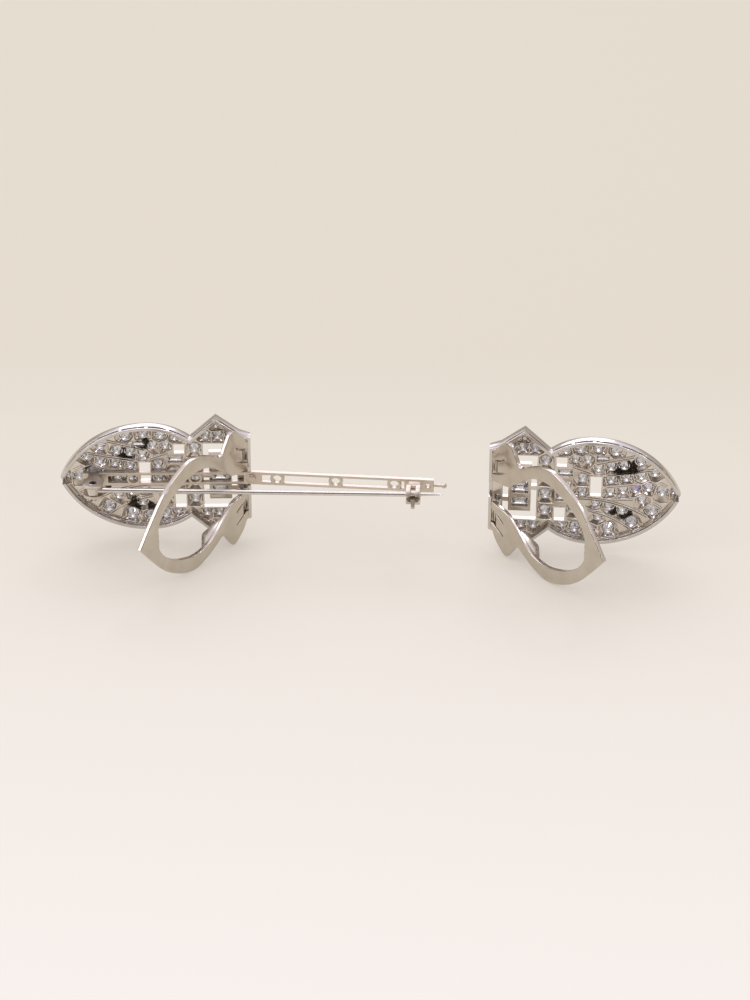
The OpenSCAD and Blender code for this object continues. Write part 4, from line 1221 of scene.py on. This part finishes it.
def left_frame():
    """The left bar, and the fork whose two ears hold the pin on its rivet."""
    a, base = PIVOT_AT - EAR / 2, BAR_BACK - BAR_T / 2
    b = a + EAR
    solids = [bar_sheet(LEFT_BAR, bar_holes(a - 0.6, LEFT_HOLES))]
    # An ear's outline: a narrow neck on the bar, shoulders, and a top of two arcs
    ear = [(a + EAR_NECK, base), (b - EAR_NECK, base), (b - EAR_NECK, EAR_NECK_TOP), (b - 0.5, 1.15)]
    ear += [(b, EAR_FOOT_TOP), (b, PIVOT_Z + 0.05)]
    ear += arc(PIVOT_AT + 0.35, PIVOT_Z, EAR_R, 20, 90, 6) + arc(PIVOT_AT - 0.45, PIVOT_Z, EAR_R, 90, 160, 6)
    ear += [(a, EAR_FOOT_TOP), (a + 0.5, 1.15), (a + EAR_NECK, EAR_NECK_TOP)]
    hole = round_hole(PIVOT_AT, PIVOT_Z, EAR_HOLE_R)
    for low, top in ((EAR_IN, EAR_OUT), (-EAR_OUT, -EAR_IN)):
        solids.append(across_v(sheet([ear, hole], low, top, 0.08)))
    return solids


def catch_drum():
    """The catch's fixed drum: two open rings, a low middle between them, and its foot on the bar."""
    end = CATCH_LENGTH / 2
    wide = (CATCH_LENGTH - CATCH_MIDDLE) / 2
    ring = open_ring(SLEEVE_OUT + 0.05, CATCH_R, MOUTH)
    solids = [along_u(sheet([ring], low, low + wide, 0.07)) for low in (-end, end - wide)]
    middle = open_ring(SLEEVE_OUT + 0.06, CATCH_R - 0.02, MOUTH, -88, 88)
    solids.append(along_u(sheet([middle], -0.42, 0.42, 0.02, 1)))
    foot = []
    for z, hx, hy in DRUM_FOOT:
        foot.append([(x, y, z) for x, y in rounded(CATCH_AT - hx, CATCH_AT + hx, -hy, hy, 0.15)])
    return solids + [skinned(foot)]


def right_frame():
    """The right bar with the catch's drum, a prong with a ball at its end and a peg at its start."""
    holes = bar_holes(CATCH_AT - CATCH_LENGTH / 2 - 0.5, RIGHT_HOLES)
    holes.append(round_hole(RIGHT_BAR - END_HOLE_IN, 0, END_HOLE_R, 24))
    ball = [(PRONG_BALL_AT - PRONG_BALL * math.cos(t), PRONG_BALL * math.sin(t))
            for t in (math.radians(a) for a in (50, 70, 90, 110, 130, 150, 168))]
    prong = PRONG + ball + [(PRONG_BALL_AT + PRONG_BALL - 0.005, 0.03)]
    peg = PEG + [(0.25 + t, r) for t, r in domed(0.75, 0.2)]
    return [bar_sheet(RIGHT_BAR, holes)] + catch_drum() + [
        turned(prong, (RIGHT_BAR, 0, BAR_BACK - BAR_T / 2), (1, 0, 0), 24),
        turned(peg, (-0.3, 0, BAR_BACK), (0, 0, 1)),
    ]


def rivet_solids():
    """A tube rivet, its ends spread into collars round an open bore."""
    collar = [(t, r) for t, r in domed(RIVET_R, RIVET_RISE) if r > 0.54] + RIVET_COLLAR
    end = EAR_OUT + 0.05
    spread = [(end + t, r) for t, r in collar]
    neck = [(end - 0.02, RIVET_R), (end - 0.025, RIVET_SHANK)]
    shank = [(-t, r) for t, r in reversed(spread)] + [(-t, r) for t, r in neck] + neck[::-1] + spread
    return [turned(shank, (PIVOT_AT, 0, PIVOT_Z), (0, 1, 0))]


def pin_solids():
    """The pin's eye in the left half's axes and its stem straight to the catch."""
    eye = [round_hole(PIVOT_AT, PIVOT_Z, EYE_R), round_hole(PIVOT_AT, PIVOT_Z, EYE_BORE)]
    start = half_axes["left"] @ Vector((PIVOT_AT, 0, PIVOT_Z))
    end = half_axes["right"] @ Vector((CATCH_AT, 0, CATCH_Z))
    reach = (end - start).length / MM + PIN_PAST
    # After the root comes the straight wire, then a point that narrows faster toward its end.
    stem = STEM_ROOT + [(reach - TAPER, PIN_R)]
    for k in range(1, 9):
        stem.append((reach - TAPER + (TAPER - 0.12) * k / 8, PIN_R + (POINT_R - PIN_R) * (k / 8) ** 1.15))
    stem.append((reach, 0.025))
    to_local = half_axes["left"].inverted()
    a, b = to_local @ start, to_local @ end
    return [across_v(sheet(eye, -EYE_HALF, EYE_HALF, 0.1)), turned(stem, a, b - a, 32)]


def sleeve_solids():
    """The sleeve that closes the catch's mouth when it turns, and its thumb tab."""
    end = CATCH_LENGTH / 2
    ring = along_u(sheet([open_ring(SLEEVE_IN, SLEEVE_OUT, MOUTH)], -end, end, 0.06))
    blade = [(r, -t) for r, t in TAB] + arc(TAB_TIP, 0, TAB_TIP_R, -80, 80, 8) + TAB[::-1]
    lean = math.radians(TAB_ANGLE)
    tab = swung(sheet([blade], -TAB_HALF, TAB_HALF, 0.07), lambda r, t, z: (
        CATCH_AT + z,
        -r * math.cos(lean) - t * math.sin(lean),
        CATCH_Z + r * math.sin(lean) - t * math.cos(lean)))
    return [ring, tab]


# Every piece on its body
def painted_shade_of(p):
    """Painted shade on the plate: more the deeper a point lies in a cell, and 1 on the sawn wall of a
    window.
    """
    if FRONT + 0.04 < p[2] < CELL_TOP - 0.03:
        for cx, cy, hx, hy in [head_window] + windows:
            if abs(p[0] - cx) < hx + 0.02 and abs(p[1] - cy) < hy + 0.02:
                return 1.0
    return max(0.0, min(1.0, (CELL_TOP - 0.1 - p[2]) / 0.4)) if FRONT + 0.06 < p[2] else 0.0


def black_near(side):
    """A measure of how near a clip's point is to its blackened places, 0 on the front."""
    def worth(p):
        if p[2] <= FRONT + 0.1:
            return 0.0
        return max([0.0] + [1 - math.dist(p[:2], (x, y)) / r for x, y, r in BLACKENED[side]])
    return worth


def painted_shade_in_bore(p):
    """1 on the walls of the rivet's bore, which get painted shade as black crust."""
    return 1.0 if math.hypot(p[0] - PIVOT_AT, p[2] - PIVOT_Z) < 0.47 and abs(p[1]) < 1.27 else 0.0


head_steps, leaf_steps = baguettes[:len(HEAD_BAGUETTES)], baguettes[len(HEAD_BAGUETTES):]
for side in ("left", "right"):
    clip, axes = side + "_clip", clip_axes[side]
    # The plate's depth measure carries painted shade for its cells and its windows' walls.
    made(side + "_plate", [plate()] + rib_solids(), axes, clip, sawn_platinum,
         [side + "_setting"], sharp=25, values={"depth": painted_shade_of, "black": black_near(side)})
    made(side + "_rim", rim_solids(), axes, clip, polished_platinum, sharp=30)
    made(side + "_hinge_rods", hinge_solids(), axes, clip, polished_platinum)
    made(side + "_grains", setting_grains() + ground_grains() + beaded_line(), axes, clip,
         polished_platinum, sharp=50)
    made(side + "_brilliants", [brilliant(*s) for s in stones], axes, clip, diamond,
         [side + "_round_stones"], sharp=0)
    made(side + "_head_steps", [step_cut(*b) for b in head_steps], axes, clip, diamond,
         [side + "_head_baguettes"], sharp=0)
    made(side + "_leaf_steps", [step_cut(*b) for b in leaf_steps], axes, clip, diamond,
         [side + "_leaf_baguettes"], sharp=0)
    made(side + "_loop_lever", lever_solids(), lever_axes[side], side + "_lever",
         satin_white_gold, [side + "_lever"], sharp=35)

made("left_bar", left_frame(), half_axes["left"], "frame", drawn_white_gold, ["frame_bar"])
made("right_bar", right_frame(), half_axes["right"], "frame", drawn_white_gold, ["frame_bar"])
# The rivet's bore gets painted shade, drawn as black crust.
made("tube_rivet", rivet_solids(), half_axes["left"], "frame", riveted_steel, ["pin_rivet"],
     values={"black": painted_shade_in_bore})
made("pin_wire", pin_solids(), half_axes["left"], "pin", drawn_steel, ["pin_stem"])
made("safety_sleeve", sleeve_solids(), half_axes["right"], "catch", drawn_white_gold,
     ["catch_sleeve"])


# Floor, light and camera
def pale_floor():
    """Thin white board, coated matt, with a painted glow that lightens its shadows, and painted light that
    makes it paler toward the front.
    """
    material = bpy.data.materials.new("board_with_painted_glow")
    material.use_nodes = True
    tree = material.node_tree
    tree.nodes.clear()
    place = node(tree, "TexCoord", {}).outputs["Object"]
    parts = node(tree, "SeparateXYZ", {"Vector": place})
    # Painted light: colour and glow grade from paler at the front to darker at the back.
    back = node(tree, "MapRange", {"Value": parts.outputs["Y"], "From Min": -0.11, "From Max": 0.08})
    colour = node(tree, "Mix", {
        "Factor": back.outputs["Result"], "A": linear("#A5A298"), "B": linear("#969281")}, data_type="RGBA")
    # Painted glow: the board gives off light of its own, which lightens the shadows on it.
    painted_glow = node(tree, "Mix", {
        "Factor": back.outputs["Result"], "A": linear("#F3ECE7"), "B": linear("#DDD4C7")}, data_type="RGBA")
    coat = node(tree, "TexNoise", {"Vector": place, "Scale": 1 / (1.2 * MM), "Detail": 3.0})
    relief = node(tree, "Bump", {"Height": coat.outputs["Fac"], "Distance": 0.01 * MM, "Strength": 0.5})
    shader = node(tree, "BsdfPrincipled", {
        "Base Color": colour.outputs["Result"], "Roughness": 0.7, "Normal": relief.outputs["Normal"],
        "Emission Color": painted_glow.outputs["Result"], "Emission Strength": 0.5})
    node(tree, "OutputMaterial", {"Surface": shader.outputs["BSDF"]})
    return material


# Floor, lamps and camera are in metres.
BOARD_HALF = 3.0
board = bpy.data.meshes.new("board")
board.from_pydata([(BOARD_HALF * x, BOARD_HALF * y, 0) for x, y in ((-1, -1), (1, -1), (1, 1), (-1, 1))],
                  [], [(0, 1, 2, 3)])
floor = bpy.data.objects.new("board", board)
floor.location.z = cad_box[0].z
board.materials.append(pale_floor())
bpy.context.scene.collection.objects.link(floor)


def soft_light(name, size, watts, colour, at, aim):
    """A lamp with a soft box of a width and height, turned to a point."""
    lamp = bpy.data.lights.new(name, "AREA")
    lamp.shape, lamp.size, lamp.size_y = "RECTANGLE", size[0], size[1]
    lamp.energy, lamp.color = watts, linear(colour)[:3]
    stand = bpy.data.objects.new(name, lamp)
    stand.location = at
    stand.rotation_euler = (Vector(aim) - Vector(at)).to_track_quat("-Z", "Y").to_euler()
    bpy.context.scene.collection.objects.link(stand)


# A soft box overhead, a long cool panel behind and a window on the left
soft_light("overhead", (0.4, 0.25), 0.4, "#FFFFFF", (-0.08, -0.1, 0.6), (0, 0, 0))
soft_light("back_panel", (0.6, 0.25), 0.8, "#F0ECFF", (-0.05, 0.6, 0.48), (0, 0, 0.01))
soft_light("left_window", (0.25, 0.4), 0.7, "#F0F0FF", (-0.55, -0.2, 0.35), (0, 0, 0.01))
# Small bright lamps that hardly light the floor but flash in facets and along polished edges
SPARKS = [(-0.3, -0.35, 0.4), (0.25, -0.4, 0.3), (0.1, 0.35, 0.4), (-0.15, 0.3, 0.5), (0.4, 0, 0.35)]
for n, at in enumerate(SPARKS):
    soft_light("spark_%d" % n, (0.05, 0.05), 0.1, "#F6F4FF", at, (0, 0, 0.01))

world = bpy.data.worlds.new("room")
bpy.context.scene.world = world
world.use_nodes = True
sky = world.node_tree
sky.nodes.clear()
# The room is darker low down than overhead.
where = node(sky, "TexCoord", {}).outputs["Generated"]
height = node(sky, "SeparateXYZ", {"Vector": where})
ramp = node(sky, "ValToRGB", {"Fac": height.outputs["Z"]})
ramp.color_ramp.elements[0].position, ramp.color_ramp.elements[0].color = 0.0, linear("#A59B91")
ramp.color_ramp.elements[1].position, ramp.color_ramp.elements[1].color = 0.58, linear("#F5F1FF")
middle = ramp.color_ramp.elements.new(0.3)
middle.color = linear("#B9B0A8")
# The dark side of the room, which the brooch's back faces, gives bright metal its dark lines.
toward = node(sky, "VectorMath", {0: where, 1: (0.1, -0.93, 0.35)}, operation="DOT_PRODUCT")
shade = node(sky, "MapRange", {"Value": toward.outputs["Value"], "From Min": 0.78, "From Max": 0.94,
                               "To Min": 1.2, "To Max": 0.3})
light = node(sky, "Background", {"Color": ramp.outputs["Color"], "Strength": shade.outputs["Result"]})
node(sky, "OutputWorld", {"Surface": light.outputs["Background"]})

# The camera looks down at the brooch's back, turned and tilted by these angles.
AZIMUTH, ELEVATION, ROLL = math.radians(-1.44), math.radians(27.9), math.radians(0.36)
AIM, AWAY = Vector((0.87, 9.73, 7.44)) * MM, 0.42
LENS, SENSOR = 95.62, 36
level_part = math.cos(ELEVATION)
looking = Vector((math.sin(AZIMUTH) * level_part, math.cos(AZIMUTH) * level_part, -math.sin(ELEVATION)))
level = looking.cross(Vector((0, 0, 1))).normalized()
upright = level.cross(looking)
across = math.cos(ROLL) * level + math.sin(ROLL) * upright
rising = math.cos(ROLL) * upright - math.sin(ROLL) * level
lens = bpy.data.cameras.new("camera")
lens.lens, lens.sensor_width, lens.clip_start = LENS, SENSOR, 0.01
camera = bpy.data.objects.new("camera", lens)
turn = Matrix((across, rising, -looking)).transposed().to_4x4()
camera.matrix_world = Matrix.Translation(AIM - looking * AWAY) @ turn
bpy.context.scene.collection.objects.link(camera)
bpy.context.scene.camera = camera
bpy.context.scene.view_settings.view_transform = "Standard"
